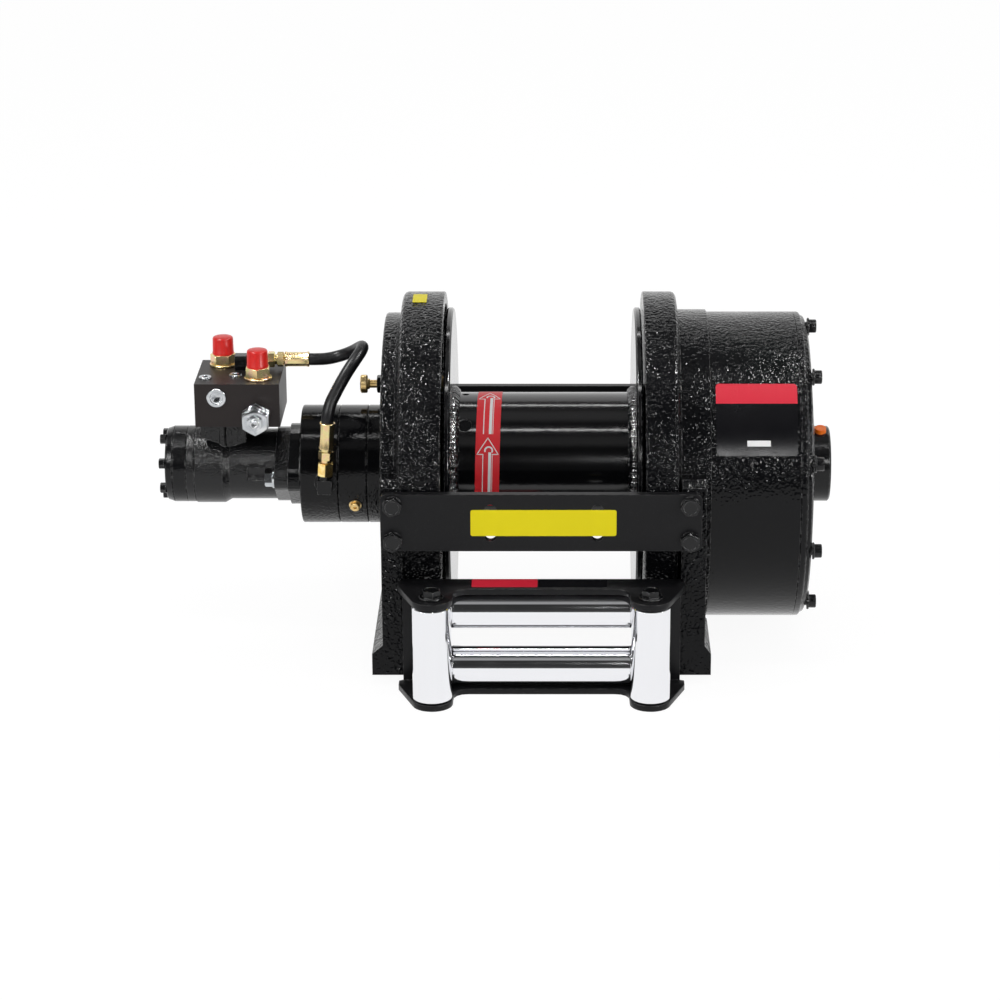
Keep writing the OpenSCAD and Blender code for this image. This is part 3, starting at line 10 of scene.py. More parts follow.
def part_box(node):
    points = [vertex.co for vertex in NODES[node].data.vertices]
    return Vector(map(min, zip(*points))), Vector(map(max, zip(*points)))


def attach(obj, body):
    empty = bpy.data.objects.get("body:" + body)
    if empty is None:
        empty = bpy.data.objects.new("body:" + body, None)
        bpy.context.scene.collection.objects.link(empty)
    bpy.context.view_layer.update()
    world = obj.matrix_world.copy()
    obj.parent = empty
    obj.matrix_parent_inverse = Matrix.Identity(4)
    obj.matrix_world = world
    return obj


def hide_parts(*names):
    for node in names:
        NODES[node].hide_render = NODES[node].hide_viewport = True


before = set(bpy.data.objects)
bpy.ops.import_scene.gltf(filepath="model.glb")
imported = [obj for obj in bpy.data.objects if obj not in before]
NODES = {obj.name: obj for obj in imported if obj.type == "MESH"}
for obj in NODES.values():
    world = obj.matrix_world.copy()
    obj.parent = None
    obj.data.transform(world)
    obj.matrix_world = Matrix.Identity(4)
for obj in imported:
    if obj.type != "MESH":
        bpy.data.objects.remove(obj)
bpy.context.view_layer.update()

MM = 0.001
AXIS_H = 190.0
BARREL_R = 85.5
RING_R = 206.0
HOUSING_R = 182.0
BRAKE_R = 70.5
HOSE_D = 14.5
TAU = 2 * math.pi
# Brightness of the tent from the horizon behind (0) over the top (0.5) to the horizon in front (1)
TENT = ((0.0, 1.0), (0.22, 1.0), (0.255, 0.12), (0.31, 0.38), (0.35, 0.1), (0.41, 0.4), (0.47, 0.42),
        (0.52, 0.06), (0.63, 0.05), (0.67, 0.3), (0.72, 0.36), (0.76, 0.03), (0.9, 0.03), (1.0, 0.07))


# Where parts sit, in millimetres: X along the drum, Y negative to the front, Z up from the feet
TIE_PLATE_Y = 216.0
TIE_BOLT_X, TIE_BOLT_Z = 169.3, 21.3
POST_X, POST_Y = 124.3, -265.0
LONG_PIN_Y, LONG_PIN_Z = -219.0, (18.15, 87.15)
FAIRLEAD_TOP = 117.3
BLOCK_TOP, BLOCK_FRONT = 304.3, -50.5
PORTS = ((-381.1, 28.987), (-335.1, -26.967))
LINE_TOP = (-326.0, 12.019, 316.6)
LINE_FOOT = (-255.0, -84.0, AXIS_H)
LINE_LEAN = math.radians(3.6)


# Nodes
def feed(tree, socket, value):
    """Links a socket to another one or sets its value; a colour may come without its alpha."""
    if isinstance(value, bpy.types.NodeSocket):
        tree.links.new(value, socket)
    elif socket.type == "RGBA" and len(value) == 3:
        socket.default_value = (*value, 1.0)
    else:
        socket.default_value = value


def add_node(tree, kind, **settings):
    """A node, with its properties set by name and its inputs by in_NAME or in_NUMBER."""
    node = tree.nodes.new(kind)
    for key, value in settings.items():
        if not key.startswith("in_"):
            setattr(node, key, value)
    for key, value in settings.items():
        if key.startswith("in_"):
            label = key[3:].replace("_", " ")
            feed(tree, node.inputs[int(label)] if label.isdigit() else node.inputs[label], value)
    return node


def clear_nodes(owner):
    owner.use_nodes = True
    owner.node_tree.nodes.clear()
    return owner.node_tree


# Camera and light
def add_camera():
    """The photograph's view: 19 degrees down, from 3.85 m, on a long lens."""
    data = bpy.data.cameras.new("camera")
    data.lens = 115.5
    data.sensor_width = 36.0
    data.shift_x = -0.058
    data.clip_end = 50.0
    camera = bpy.data.objects.new("camera", data)
    camera.location = (0.019, -3.6546, 1.4018)
    camera.rotation_euler = (math.radians(71.0), 0.0, 0.0)
    bpy.context.scene.collection.objects.link(camera)
    bpy.context.scene.camera = camera


def add_lamp(name, place, target, size, power, in_gloss_only):
    """An area lamp; one for gloss only is a card that the paint mirrors without lighting it."""
    data = bpy.data.lights.new(name, "AREA")
    data.shape = "RECTANGLE"
    data.size, data.size_y = size
    data.energy = power
    lamp = bpy.data.objects.new(name, data)
    lamp.location = place
    lamp.visible_diffuse = not in_gloss_only
    way = Vector(target) - Vector(place)
    lamp.rotation_euler = way.to_track_quat("-Z", "Y").to_euler()
    bpy.context.scene.collection.objects.link(lamp)


def add_world():
    """White low behind the object, dim bands above and in front, as in a tent open to the camera."""
    world = bpy.data.worlds.new("studio")
    bpy.context.scene.world = world
    tree = clear_nodes(world)
    coord = add_node(tree, "ShaderNodeTexCoord")
    axes = add_node(tree, "ShaderNodeSeparateXYZ", in_0=coord.outputs["Generated"])
    height = add_node(tree, "ShaderNodeMath", operation="ARCTAN2", in_0=axes.outputs["Z"],
                      in_1=axes.outputs["Y"])
    turn = add_node(tree, "ShaderNodeMath", operation="DIVIDE", in_0=height.outputs[0], in_1=math.pi)
    tent = add_node(tree, "ShaderNodeValToRGB", in_0=turn.outputs[0])
    bands = tent.color_ramp.elements
    bands[0].position, bands[1].position = TENT[0][0], TENT[-1][0]
    for place, _ in TENT[1:-1]:
        bands.new(place)
    for band, (_, grey) in zip(bands, TENT):
        band.color = (grey, grey, grey, 1.0)
    path = add_node(tree, "ShaderNodeLightPath").outputs
    soft = add_node(tree, "ShaderNodeMix", in_0=path["Is Diffuse Ray"], in_2=tent.outputs[0], in_3=0.5)
    seen = add_node(tree, "ShaderNodeMix", in_0=path["Is Camera Ray"], in_2=soft.outputs[0], in_3=1.0)
    back = add_node(tree, "ShaderNodeBackground", in_Color=(1.0, 1.0, 1.0), in_Strength=seen.outputs[0])
    add_node(tree, "ShaderNodeOutputWorld", in_0=back.outputs[0])


def add_floor():
    """A pale floor just under the fairlead, bright enough to meet the white background."""
    half, z = 9.0, -0.0125
    glow, glow_share = 1.08, 0.86
    mesh = bpy.data.meshes.new("floor")
    corners = [(-half, -half, z), (half, -half, z), (half, half, z), (-half, half, z)]
    mesh.from_pydata(corners, [], [(0, 1, 2, 3)])
    floor = bpy.data.objects.new("floor", mesh)
    bpy.context.scene.collection.objects.link(floor)
    material = bpy.data.materials.new("pale_floor")
    tree = clear_nodes(material)
    path = add_node(tree, "ShaderNodeLightPath").outputs
    both = add_node(tree, "ShaderNodeMath", operation="MAXIMUM", in_0=path["Is Camera Ray"],
                    in_1=path["Is Glossy Ray"])
    share = add_node(tree, "ShaderNodeMath", operation="MULTIPLY", in_0=both.outputs[0], in_1=glow_share)
    matt = add_node(tree, "ShaderNodeBsdfDiffuse", in_Color=(0.8, 0.8, 0.8))
    lit = add_node(tree, "ShaderNodeEmission", in_Strength=glow)
    mix = add_node(tree, "ShaderNodeMixShader", in_0=share.outputs[0], in_1=matt.outputs[0],
                   in_2=lit.outputs[0])
    add_node(tree, "ShaderNodeOutputMaterial", in_0=mix.outputs[0])
    mesh.materials.append(material)


# Shader groups
class Tree:
    """A shader tree that nodes are added to."""

    def add(self, kind, **settings):
        return add_node(self.tree, kind, **settings)

    def maths(self, operation, first, second, **settings):
        return self.add("ShaderNodeMath", operation=operation, in_0=first, in_1=second, **settings).outputs[0]

    def noise(self, place, scale, detail, **settings):
        """Noise from 0 to 1 at a place."""
        node = self.add("ShaderNodeTexNoise", in_Vector=place, in_Scale=scale, in_Detail=detail, **settings)
        return node.outputs["Fac"]

    def ramp(self, value, low, high, start=0.0, **settings):
        """From start to 1 as a value goes from low to high."""
        node = self.add("ShaderNodeMapRange", in_Value=value, in_From_Min=low, in_From_Max=high,
                        in_To_Min=start, **settings)
        return node.outputs[0]

    def blend(self, base, other, share):
        """A colour turned towards another one by a share that may change over the surface."""
        return self.add("ShaderNodeMix", data_type="RGBA", in_0=share, in_6=base, in_7=other).outputs[2]


class Group(Tree):
    """A shader node group with named inputs and outputs."""

    def __init__(self, name, inputs, outputs):
        self.tree = bpy.data.node_groups.new(name, "ShaderNodeTree")
        for label, kind, value in inputs:
            item = self.tree.interface.new_socket(name=label, in_out="INPUT", socket_type=kind)
            if value is not None:
                item.default_value = value
        for label, kind in outputs:
            self.tree.interface.new_socket(name=label, in_out="OUTPUT", socket_type=kind)
        self.given = self.tree.nodes.new("NodeGroupInput").outputs
        self.result = self.tree.nodes.new("NodeGroupOutput").inputs

    def give(self, label, source):
        self.tree.links.new(source, self.result[label])


FLOAT, COLOUR, VECTOR = "NodeSocketFloat", "NodeSocketColor", "NodeSocketVector"


def make_cast_skin():
    """Wrinkled paint over a sand casting: lumps and orange peel, deeper in some patches."""
    g = Group("cast_skin", [("Vector", VECTOR, None), ("Lumps", FLOAT, 1.0), ("Peel", FLOAT, 1.0),
                            ("Size", FLOAT, 1.0)], [("Height", FLOAT)])
    place = g.given["Vector"]
    scaled = g.add("ShaderNodeVectorMath", operation="SCALE", in_0=place, in_Scale=g.given["Size"]).outputs[0]
    patches = g.ramp(g.noise(place, 9.0, 3.0), 0.35, 0.62, 0.25)
    lumps = g.noise(scaled, 165.0, 1.0, in_Roughness=0.4, in_Distortion=0.7)
    peel = g.add("ShaderNodeTexVoronoi", feature="SMOOTH_F1", in_Scale=230.0, in_Smoothness=0.6,
                 in_Vector=scaled)
    both = g.maths("ADD", g.maths("MULTIPLY", lumps, g.given["Lumps"]),
                   g.maths("MULTIPLY", peel.outputs["Distance"], g.given["Peel"]))
    g.give("Height", g.maths("MULTIPLY", both, patches))
    return g.tree


def make_handling():
    """Uneven sheen: faint dust and rubbed places that change the roughness and lift the colour a little."""
    g = Group("handling", [("Vector", VECTOR, None), ("Roughness", FLOAT, 0.3), ("Spread", FLOAT, 0.08),
                           ("Dust", FLOAT, 0.02)], [("Roughness", FLOAT), ("Dust", FLOAT)])
    place = g.given["Vector"]
    broad = g.noise(place, 22.0, 5.0, in_Roughness=0.6)
    swing = g.maths("MULTIPLY", g.maths("SUBTRACT", broad, 0.5), g.given["Spread"])
    g.give("Roughness", g.maths("ADD", g.maths("MULTIPLY", swing, 2.0), g.given["Roughness"], use_clamp=True))
    g.give("Dust", g.maths("MULTIPLY", g.ramp(g.noise(place, 900.0, 2.0), 0.62, 0.75), g.given["Dust"]))
    return g.tree


def make_edge_wear_and_highlight():
    """A mask that is 1 along sharp edges, broken up by noise; finishes use it to lighten edges, partly as wear and
    partly as a painted highlight.
    """
    g = Group("edge_wear_and_highlight", [("Vector", VECTOR, None), ("Width", FLOAT, 0.0008), ("Amount", FLOAT, 1.0)],
              [("Mask", FLOAT)])
    round_off = g.add("ShaderNodeBevel", samples=4, in_Radius=g.given["Width"])
    face = g.add("ShaderNodeNewGeometry")
    same = g.add("ShaderNodeVectorMath", operation="DOT_PRODUCT", in_0=round_off.outputs[0],
                 in_1=face.outputs["Normal"])
    broken = g.ramp(g.noise(g.given["Vector"], 180.0, 3.0), 0.42, 0.6)
    part = g.maths("MULTIPLY", g.ramp(same.outputs["Value"], 0.995, 0.9), broken)
    g.give("Mask", g.maths("MULTIPLY", part, g.given["Amount"]))
    return g.tree


def make_drawn_grain():
    """Fine parallel marks along one direction, as on ground, turned or milled metal."""
    g = Group("drawn_grain", [("Vector", VECTOR, None), ("Stretch", VECTOR, None), ("Scale", FLOAT, 900.0)],
              [("Height", FLOAT), ("Shade", FLOAT)])
    along = g.add("ShaderNodeVectorMath", operation="MULTIPLY", in_0=g.given["Vector"],
                  in_1=g.given["Stretch"]).outputs[0]
    g.give("Height", g.noise(along, g.given["Scale"], 2.0))
    g.give("Shade", g.noise(along, 60.0, 3.0))
    return g.tree


def make_plating():
    """Passivated zinc: the tint wanders between three hues."""
    g = Group("plating", [("Vector", VECTOR, None), ("First", COLOUR, None), ("Second", COLOUR, None),
                          ("Third", COLOUR, None)], [("Color", COLOUR)])
    place = g.given["Vector"]
    near = g.ramp(g.noise(place, 55.0, 2.0, in_Distortion=1.2), 0.38, 0.62)
    far = g.ramp(g.noise(place, 90.0, 2.0, in_Distortion=0.8), 0.5, 0.7)
    g.give("Color", g.blend(g.blend(g.given["First"], g.given["Second"], near), g.given["Third"], far))
    return g.tree


CAST_SKIN = make_cast_skin()
HANDLING = make_handling()
EDGE_WEAR_AND_HIGHLIGHT = make_edge_wear_and_highlight()
DRAWN_GRAIN = make_drawn_grain()
PLATING = make_plating()


class Finish(Tree):
    """A material with one Principled shader, fed by the groups above."""

    def __init__(self, name, metallic=0.0, specular=0.5):
        self.material = bpy.data.materials.new(name)
        self.tree = clear_nodes(self.material)
        self.shader = self.add("ShaderNodeBsdfPrincipled", in_Metallic=metallic,
                               in_Specular_IOR_Level=specular)
        self.add("ShaderNodeOutputMaterial", in_0=self.shader.outputs[0])
        self.place = self.add("ShaderNodeTexCoord").outputs["Object"]
        self.normal = None

    def group(self, tree, **inputs):
        node = self.add("ShaderNodeGroup", node_tree=tree)
        for label, value in {"Vector": self.place, **inputs}.items():
            feed(self.tree, node.inputs[label], value)
        return node.outputs

    def handled(self, roughness, spread, dust=0.0):
        wear_and_sheen = self.group(HANDLING, Roughness=roughness, Spread=spread, Dust=dust)
        feed(self.tree, self.shader.inputs["Roughness"], wear_and_sheen["Roughness"])
        return wear_and_sheen["Dust"]

    def rounded(self, radius):
        self.normal = self.add("ShaderNodeBevel", samples=4, in_Radius=radius).outputs[0]

    def bump(self, height, strength, distance):
        bump = self.add("ShaderNodeBump", in_Strength=strength, in_Distance=distance, in_Height=height)
        if self.normal is not None:
            feed(self.tree, bump.inputs["Normal"], self.normal)
        self.normal = bump.outputs[0]

    def finish(self, colour):
        feed(self.tree, self.shader.inputs["Base Color"], colour)
        feed(self.tree, self.shader.inputs["Normal"], self.normal)
        return self.material


def black_paint(name, lumps, peel, size, depth, roughness, edge=0.0009, fade=None, specular=0.16):
    """Gloss black enamel over a casting, its skin smoother below a height where fade gives one."""
    f = Finish(name, specular=specular)
    f.rounded(edge)
    height = f.group(CAST_SKIN, Lumps=lumps, Peel=peel, Size=size)["Height"]
    if fade is not None:
        axes = f.add("ShaderNodeSeparateXYZ", in_0=f.place)
        level = f.ramp(axes.outputs["Z"], *fade, 0.12, interpolation_type="SMOOTHSTEP")
        height = f.maths("MULTIPLY", height, level)
    f.bump(height, 1.0, depth)
    dust = f.handled(roughness, 0.03, 0.02)
    # Edges turned grey: a painted highlight along rounded edges, partly also rubbed paint
    wear_and_sheen = f.group(EDGE_WEAR_AND_HIGHLIGHT, Width=1.3 * edge, Amount=0.5)["Mask"]
    paint = f.blend((0.0025, 0.0026, 0.0033), (0.04, 0.04, 0.045), dust)
    return f.finish(f.blend(paint, (0.3, 0.3, 0.3), wear_and_sheen))


def satin_paint(name, colour, roughness, depth):
    """Powder coat on cut and bent plate, its edges lightened: partly rubbed paint, partly a painted highlight."""
    f = Finish(name, specular=0.2)
    f.rounded(0.0008)
    f.bump(f.group(CAST_SKIN, Lumps=0.2, Peel=0.5, Size=3.0)["Height"], 0.5, depth)
    dust = f.handled(roughness, 0.07, 0.1)
    # Edges turned lighter grey: partly rubbed paint, partly a painted highlight
    wear_and_sheen = f.group(EDGE_WEAR_AND_HIGHLIGHT, Width=0.0012, Amount=0.35)["Mask"]
    return f.finish(f.blend(f.blend(colour, (0.1, 0.1, 0.1), dust), (0.2, 0.2, 0.2), wear_and_sheen))


def plated(name, colours, roughness):
    """Zinc plate in three wandering tints."""
    f = Finish(name, metallic=1.0)
    f.rounded(0.0004)
    tint = f.group(PLATING, **dict(zip(("First", "Second", "Third"), colours)))["Color"]
    f.bump(f.group(CAST_SKIN, Lumps=0.4, Peel=0.2, Size=4.0)["Height"], 0.5, 0.00004)
    f.handled(roughness, 0.08)
    return f.finish(tint)


def bare_metal(name, colour, roughness, stretch, depth=0.00002, shade=0.25, scale=900.0, metallic=1.0,
               specular=0.5):
    """Ground, turned or blackened metal with marks along one direction."""
    f = Finish(name, metallic=metallic, specular=specular)
    f.rounded(0.0004)
    grain = f.group(DRAWN_GRAIN, Stretch=stretch, Scale=scale)
    f.bump(grain["Height"], 0.4, depth)
    f.handled(roughness, 0.06)
    darker = tuple(c * 0.55 for c in colour)
    return f.finish(f.blend(colour, darker, f.maths("MULTIPLY", grain["Shade"], shade)))


def moulded(name, colour, roughness, depth=0.00003, specular=0.5):
    """Moulded plastic or rubber."""
    f = Finish(name, specular=specular)
    f.rounded(0.0004)
    f.bump(f.group(CAST_SKIN, Lumps=0.5, Peel=0.4, Size=5.0)["Height"], 0.5, depth)
    specks = f.handled(roughness, 0.08, 0.05)
    pale = tuple(min(1.0, c * 1.5 + 0.06) for c in colour)
    return f.finish(f.blend(colour, pale, specks))


def printed(name, colour, roughness=0.4):
    """Ink under a clear film, a little uneven."""
    f = Finish(name, specular=0.2)
    wave = f.noise(f.place, 14.0, 2.0)
    f.bump(wave, 0.4, 0.0004)
    f.handled(roughness, 0.08)
    darker = tuple(c * 0.75 for c in colour)
    return f.finish(f.blend(colour, darker, f.maths("MULTIPLY", wave, 0.2)))


CAST_BLACK = black_paint("cast_black", 1.0, 0.8, 1.15, 0.002, 0.08)
HOUSING_BLACK = black_paint("housing_black", 0.9, 0.7, 1.2, 0.0022, 0.11, fade=(0.17, 0.3), specular=0.19)
MOTOR_BLACK = black_paint("motor_black", 0.3, 0.15, 1.6, 0.0007, 0.2, specular=0.3)
BODY_BLACK = black_paint("body_black", 0.8, 0.4, 2.2, 0.0009, 0.24, specular=0.4)
BRAKE_BLACK = black_paint("brake_black", 0.9, 0.5, 1.7, 0.0014, 0.13, fade=(0.21, 0.15), specular=0.22)
DRUM_BLACK = black_paint("drum_black", 0.12, 0.06, 0.8, 0.0006, 0.12, specular=0.5)
WELD_BLACK = black_paint("weld_black", 0.9, 0.3, 1.0, 0.0022, 0.14, specular=0.9)
PLATE_BLACK = satin_paint("plate_black", (0.005, 0.005, 0.006), 0.36, 0.0001)
BOLT_BLACK = black_paint("bolt_black", 0.1, 0.1, 3.0, 0.0002, 0.2, edge=0.0006, specular=0.35)
BLOCK_BLACK = bare_metal("block_black", (0.018, 0.0125, 0.012), 0.42, (0.02, 1.0, 1.0), 0.00003, 0.5, 500.0,
                         0.0, 0.25)
CHROME = bare_metal("roller_chrome", (0.86, 0.865, 0.89), 0.07, (1.0, 1.0, 0.02), 0.000006, 0.1)
CHROME_LONG = bare_metal("long_roller_chrome", (0.86, 0.865, 0.89), 0.07, (0.02, 1.0, 1.0), 0.000006, 0.1)
BRIGHT_ZINC = plated("bright_zinc", ((0.56, 0.58, 0.6), (0.46, 0.48, 0.5), (0.66, 0.67, 0.68)), 0.16)
YELLOW_ZINC = plated("yellow_zinc", ((0.8, 0.6, 0.3), (0.72, 0.65, 0.32), (0.8, 0.52, 0.36)), 0.26)
BRIGHT_BRASS = plated("bright_brass", ((0.95, 0.68, 0.2), (0.98, 0.8, 0.42), (0.88, 0.6, 0.22)), 0.24)
BRASS = plated("turned_brass", ((0.8, 0.58, 0.26), (0.72, 0.5, 0.2), (0.85, 0.66, 0.36)), 0.3)
CAP_RED = moulded("cap_red", (0.72, 0.018, 0.014), 0.3, specular=0.25)
PLUG_ORANGE = moulded("plug_orange", (1.0, 0.19, 0.01), 0.35, specular=0.3)
HOSE_BLACK = moulded("hose_black", (0.008, 0.008, 0.0095), 0.36, 0.00006, specular=0.25)
STEEL = bare_metal("machined_steel", (0.56, 0.57, 0.58), 0.3, (0.02, 1.0, 1.0))
SPRING_STEEL = bare_metal("spring_steel", (0.35, 0.36, 0.38), 0.35, (1.0, 1.0, 1.0))
BRONZE = bare_metal("bearing_bronze", (0.6, 0.42, 0.22), 0.3, (0.02, 1.0, 1.0))
LINING = moulded("friction_lining", (0.26, 0.2, 0.15), 0.8, 0.0001)
TAPE_RED = printed("tape_red", (0.8, 0.022, 0.032))
LABEL_RED = printed("label_red", (0.72, 0.014, 0.04))
LABEL_BLACK = printed("label_black", (0.0032, 0.0032, 0.0048), 0.24)
LABEL_YELLOW = printed("label_yellow", (0.82, 0.7, 0.004), 0.45)
INK_WHITE = printed("ink_white", (0.86, 0.86, 0.86))

# Finishes, each paired with a slot name
ZINC = (BRIGHT_ZINC, "bright_zinc")
GILT = (YELLOW_ZINC, "yellow_zinc")
BLACKED = (BOLT_BLACK, "satin_black")
TURNED = (BRASS, "brass")


# Mesh pieces
def finish_piece(name, data, material, slot, body, nodes=(), sharp=35.0):
    """Turns a mesh into a piece of the scene that rides on a body and may stand for CAD nodes."""
    shape = bmesh.new()
    shape.from_mesh(data)
    bmesh.ops.remove_doubles(shape, verts=shape.verts, dist=1e-6)
    bmesh.ops.recalc_face_normals(shape, faces=shape.faces)
    shape.to_mesh(data)
    shape.free()
    data.polygons.foreach_set("use_smooth", [True] * len(data.polygons))
    data.polygons.foreach_set("material_index", [0] * len(data.polygons))
    data.set_sharp_from_angle(angle=math.radians(sharp))
    data.materials.clear()
    data.materials.append(material)
    piece = bpy.data.objects.new(name, data)
    bpy.context.scene.collection.objects.link(piece)
    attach(piece, body)
    if nodes:
        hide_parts(*nodes)


def round_ring(radius, height):
    return lambda angle: (radius, height)


def rounds(*pairs):
    """Plain rings, each (radius, height)."""
    return [round_ring(*pair) for pair in pairs]


def hex_reach(flats, angle):
    turned = (angle + 4 * TAU) % (TAU / 6) - TAU / 12
    return flats / 2 / math.cos(turned)


def hex_ring(flats, height, turn=0.0):
    return lambda angle: (hex_reach(flats, angle - turn), height)


def hex_edge(flats, height, slope, turn=0.0):
    """The scalloped edge that a turned chamfer leaves on a hexagon."""
    def edge(angle):
        reach = hex_reach(flats, angle - turn)
        return reach, height - (reach - 0.485 * flats) * slope
    return edge


def wavy_ring(radius, height, count, depth):
    """A ring pressed in at even steps, as crimping and knurling leave it."""
    return lambda angle: (radius - depth * (0.5 + 0.5 * math.cos(count * angle)), height)


def hexagon(flats, low, high, turn=0.0, low_chamfer=True):
    """Rings of a hexagon with its corners turned off."""
    rings = []
    if low_chamfer:
        rings += [round_ring(0.485 * flats, low), hex_edge(flats, low, -0.55, turn)]
    else:
        rings += [hex_ring(flats, low, turn)]
    return rings + [hex_edge(flats, high, 0.55, turn), round_ring(0.485 * flats, high)]


def socket(flats, rim, depth, rim_radius):
    """Rings of a hexagon socket, from its countersink down."""
    return [round_ring(rim_radius, rim), hex_ring(flats, rim - 0.35), hex_ring(flats, rim - depth)]


def cylinder(radius, low, high, edge=0.5):
    """Rings of a plain cylinder with its edges taken off."""
    return rounds((radius - edge, low), (radius, low + edge), (radius, high - edge), (radius - edge, high))


def stack(rings, sides=48):
    """Points and faces of a closed solid through rings, in millimetres along +Z."""
    points, faces = [], []
    for ring in rings:
        for k in range(sides):
            angle = TAU * k / sides
            radius, height = ring(angle)
            points.append((radius * math.cos(angle), radius * math.sin(angle), height))
    for i in range(len(rings) - 1):
        for k in range(sides):
            n = (k + 1) % sides
            faces.append((i * sides + k, i * sides + n, (i + 1) * sides + n, (i + 1) * sides + k))
    for first, low in ((0, True), ((len(rings) - 1) * sides, False)):
        height = sum(points[first + k][2] for k in range(sides)) / sides
        points.append((0.0, 0.0, height))
        for k in range(sides):
            pair = (first + k, first + (k + 1) % sides)
            faces.append((len(points) - 1, pair[1], pair[0]) if low else (len(points) - 1, *pair))
    return points, faces


def facing(direction, turn=0.0):
    """A turn that points +Z along a direction."""
    return Vector(direction).to_track_quat("Z", "Y").to_matrix().to_4x4() @ Matrix.Rotation(turn, 4, "Z")


def solids_mesh(name, parts):
    """One mesh from several closed solids, each (points, faces, place in mm, direction, turn)."""
    points, faces = [], []
    for own_points, own_faces, place, direction, turn in parts:
        start = len(points)
        set_out = Matrix.Translation(Vector(place)) @ facing(direction, turn)
        points += [tuple((set_out @ Vector(p)) * MM) for p in own_points]
        faces += [tuple(start + i for i in face) for face in own_faces]
    data = bpy.data.meshes.new(name)
    data.from_pydata(points, [], faces)
    return data


def add_socket(tree, name, kind, way="INPUT"):
    return tree.interface.new_socket(name=name, in_out=way, socket_type="NodeSocket" + kind)


def make_fastener_tree():
    """Sets one fastener on every point, turned as the point's own angles say."""
    tree = bpy.data.node_groups.new("set_fasteners", "GeometryNodeTree")
    for name, kind in (("Geometry", "Geometry"), ("Fastener", "Object"), ("Finish", "Material")):
        add_socket(tree, name, kind)
    add_socket(tree, "Geometry", "Geometry", "OUTPUT")
    given = tree.nodes.new("NodeGroupInput").outputs
    result = tree.nodes.new("NodeGroupOutput").inputs
    one = add_node(tree, "GeometryNodeObjectInfo", in_Object=given["Fastener"])
    angles = add_node(tree, "GeometryNodeInputNamedAttribute", data_type="FLOAT_VECTOR", in_Name="angles")
    turn = add_node(tree, "FunctionNodeEulerToRotation", in_0=angles.outputs["Attribute"])
    many = add_node(tree, "GeometryNodeInstanceOnPoints", in_Points=given["Geometry"],
                    in_Instance=one.outputs["Geometry"], in_Rotation=turn.outputs[0])
    real = add_node(tree, "GeometryNodeRealizeInstances", in_0=many.outputs[0])
    coloured = add_node(tree, "GeometryNodeSetMaterial", in_Geometry=real.outputs[0],
                        in_Material=given["Finish"])
    tree.links.new(coloured.outputs[0], result[0])
    return tree


def make_weld_tree():
    """A rippled bead of weld laid round the barrel."""
    tree = bpy.data.node_groups.new("weld_bead", "GeometryNodeTree")
    for name in ("Radius", "Place", "Bead", "Ripple", "Ripples"):
        add_socket(tree, name, "Float")
    add_socket(tree, "Finish", "Material")
    add_socket(tree, "Geometry", "Geometry", "OUTPUT")
    given = tree.nodes.new("NodeGroupInput").outputs
    result = tree.nodes.new("NodeGroupOutput").inputs

    def sums(operation, *values):
        names = {"in_%d" % i: value for i, value in enumerate(values)}
        return add_node(tree, "ShaderNodeMath", operation=operation, **names).outputs[0]

    grid = add_node(tree, "GeometryNodeMeshGrid", in_Vertices_X=541, in_Vertices_Y=13, in_Size_X=1.0,
                    in_Size_Y=1.0)
    start = tree.nodes.new("GeometryNodeInputPosition")
    where = add_node(tree, "ShaderNodeSeparateXYZ", in_0=start.outputs[0])
    round_way = sums("MULTIPLY", where.outputs[0], TAU)
    section = sums("MULTIPLY", where.outputs[1], TAU)
    wave = sums("SINE", sums("MULTIPLY", round_way, given["Ripples"]))
    loop = add_node(tree, "ShaderNodeCombineXYZ", in_0=sums("COSINE", round_way),
                    in_1=sums("SINE", round_way), in_2=given["Place"])
    uneven = add_node(tree, "ShaderNodeTexNoise", in_Vector=loop.outputs[0], in_Scale=9.0, in_Detail=3.0)
    drift = sums("MULTIPLY", sums("SUBTRACT", uneven.outputs[0], 0.5), 4.0)
    swell = sums("ADD", sums("MULTIPLY", wave, 0.5), drift)
    size = sums("MULTIPLY", given["Bead"], sums("ADD", 1.0, sums("MULTIPLY", swell, given["Ripple"])))
    reach = sums("ADD", given["Radius"], sums("MULTIPLY", size, sums("SINE", section)))
    place = add_node(tree, "ShaderNodeCombineXYZ",
                     in_0=sums("ADD", given["Place"], sums("MULTIPLY", size, sums("COSINE", section))),
                     in_1=sums("MULTIPLY", reach, sums("COSINE", round_way)),
                     in_2=sums("ADD", sums("MULTIPLY", reach, sums("SINE", round_way)), AXIS_H * MM))
    moved = add_node(tree, "GeometryNodeSetPosition", in_Geometry=grid.outputs[0],
                     in_Position=place.outputs[0])
    joined = add_node(tree, "GeometryNodeMergeByDistance", in_Geometry=moved.outputs[0], in_Distance=1e-6)
    real = add_node(tree, "GeometryNodeRealizeInstances", in_0=joined.outputs[0])
    coloured = add_node(tree, "GeometryNodeSetMaterial", in_Geometry=real.outputs[0],
                        in_Material=given["Finish"])
    tree.links.new(coloured.outputs[0], result[0])
    return tree


def grow(name, tree, start, **values):
    """Runs a Geometry Nodes tree on a mesh and gives the plain mesh that it makes."""
    holder = bpy.data.objects.new(name + "_start", start)
    bpy.context.scene.collection.objects.link(holder)
    modifier = holder.modifiers.new("grow", "NODES")
    modifier.node_group = tree
    for item in tree.interface.items_tree:
        if item.in_out == "INPUT" and item.name in values:
            modifier[item.identifier] = values[item.name]
    seen = holder.evaluated_get(bpy.context.evaluated_depsgraph_get())
    data = bpy.data.meshes.new_from_object(seen)
    data.name = name
    holder.modifiers.remove(modifier)
    bpy.data.objects.remove(holder)
    return data


FASTENER_TREE = make_fastener_tree()
WELD_TREE = make_weld_tree()


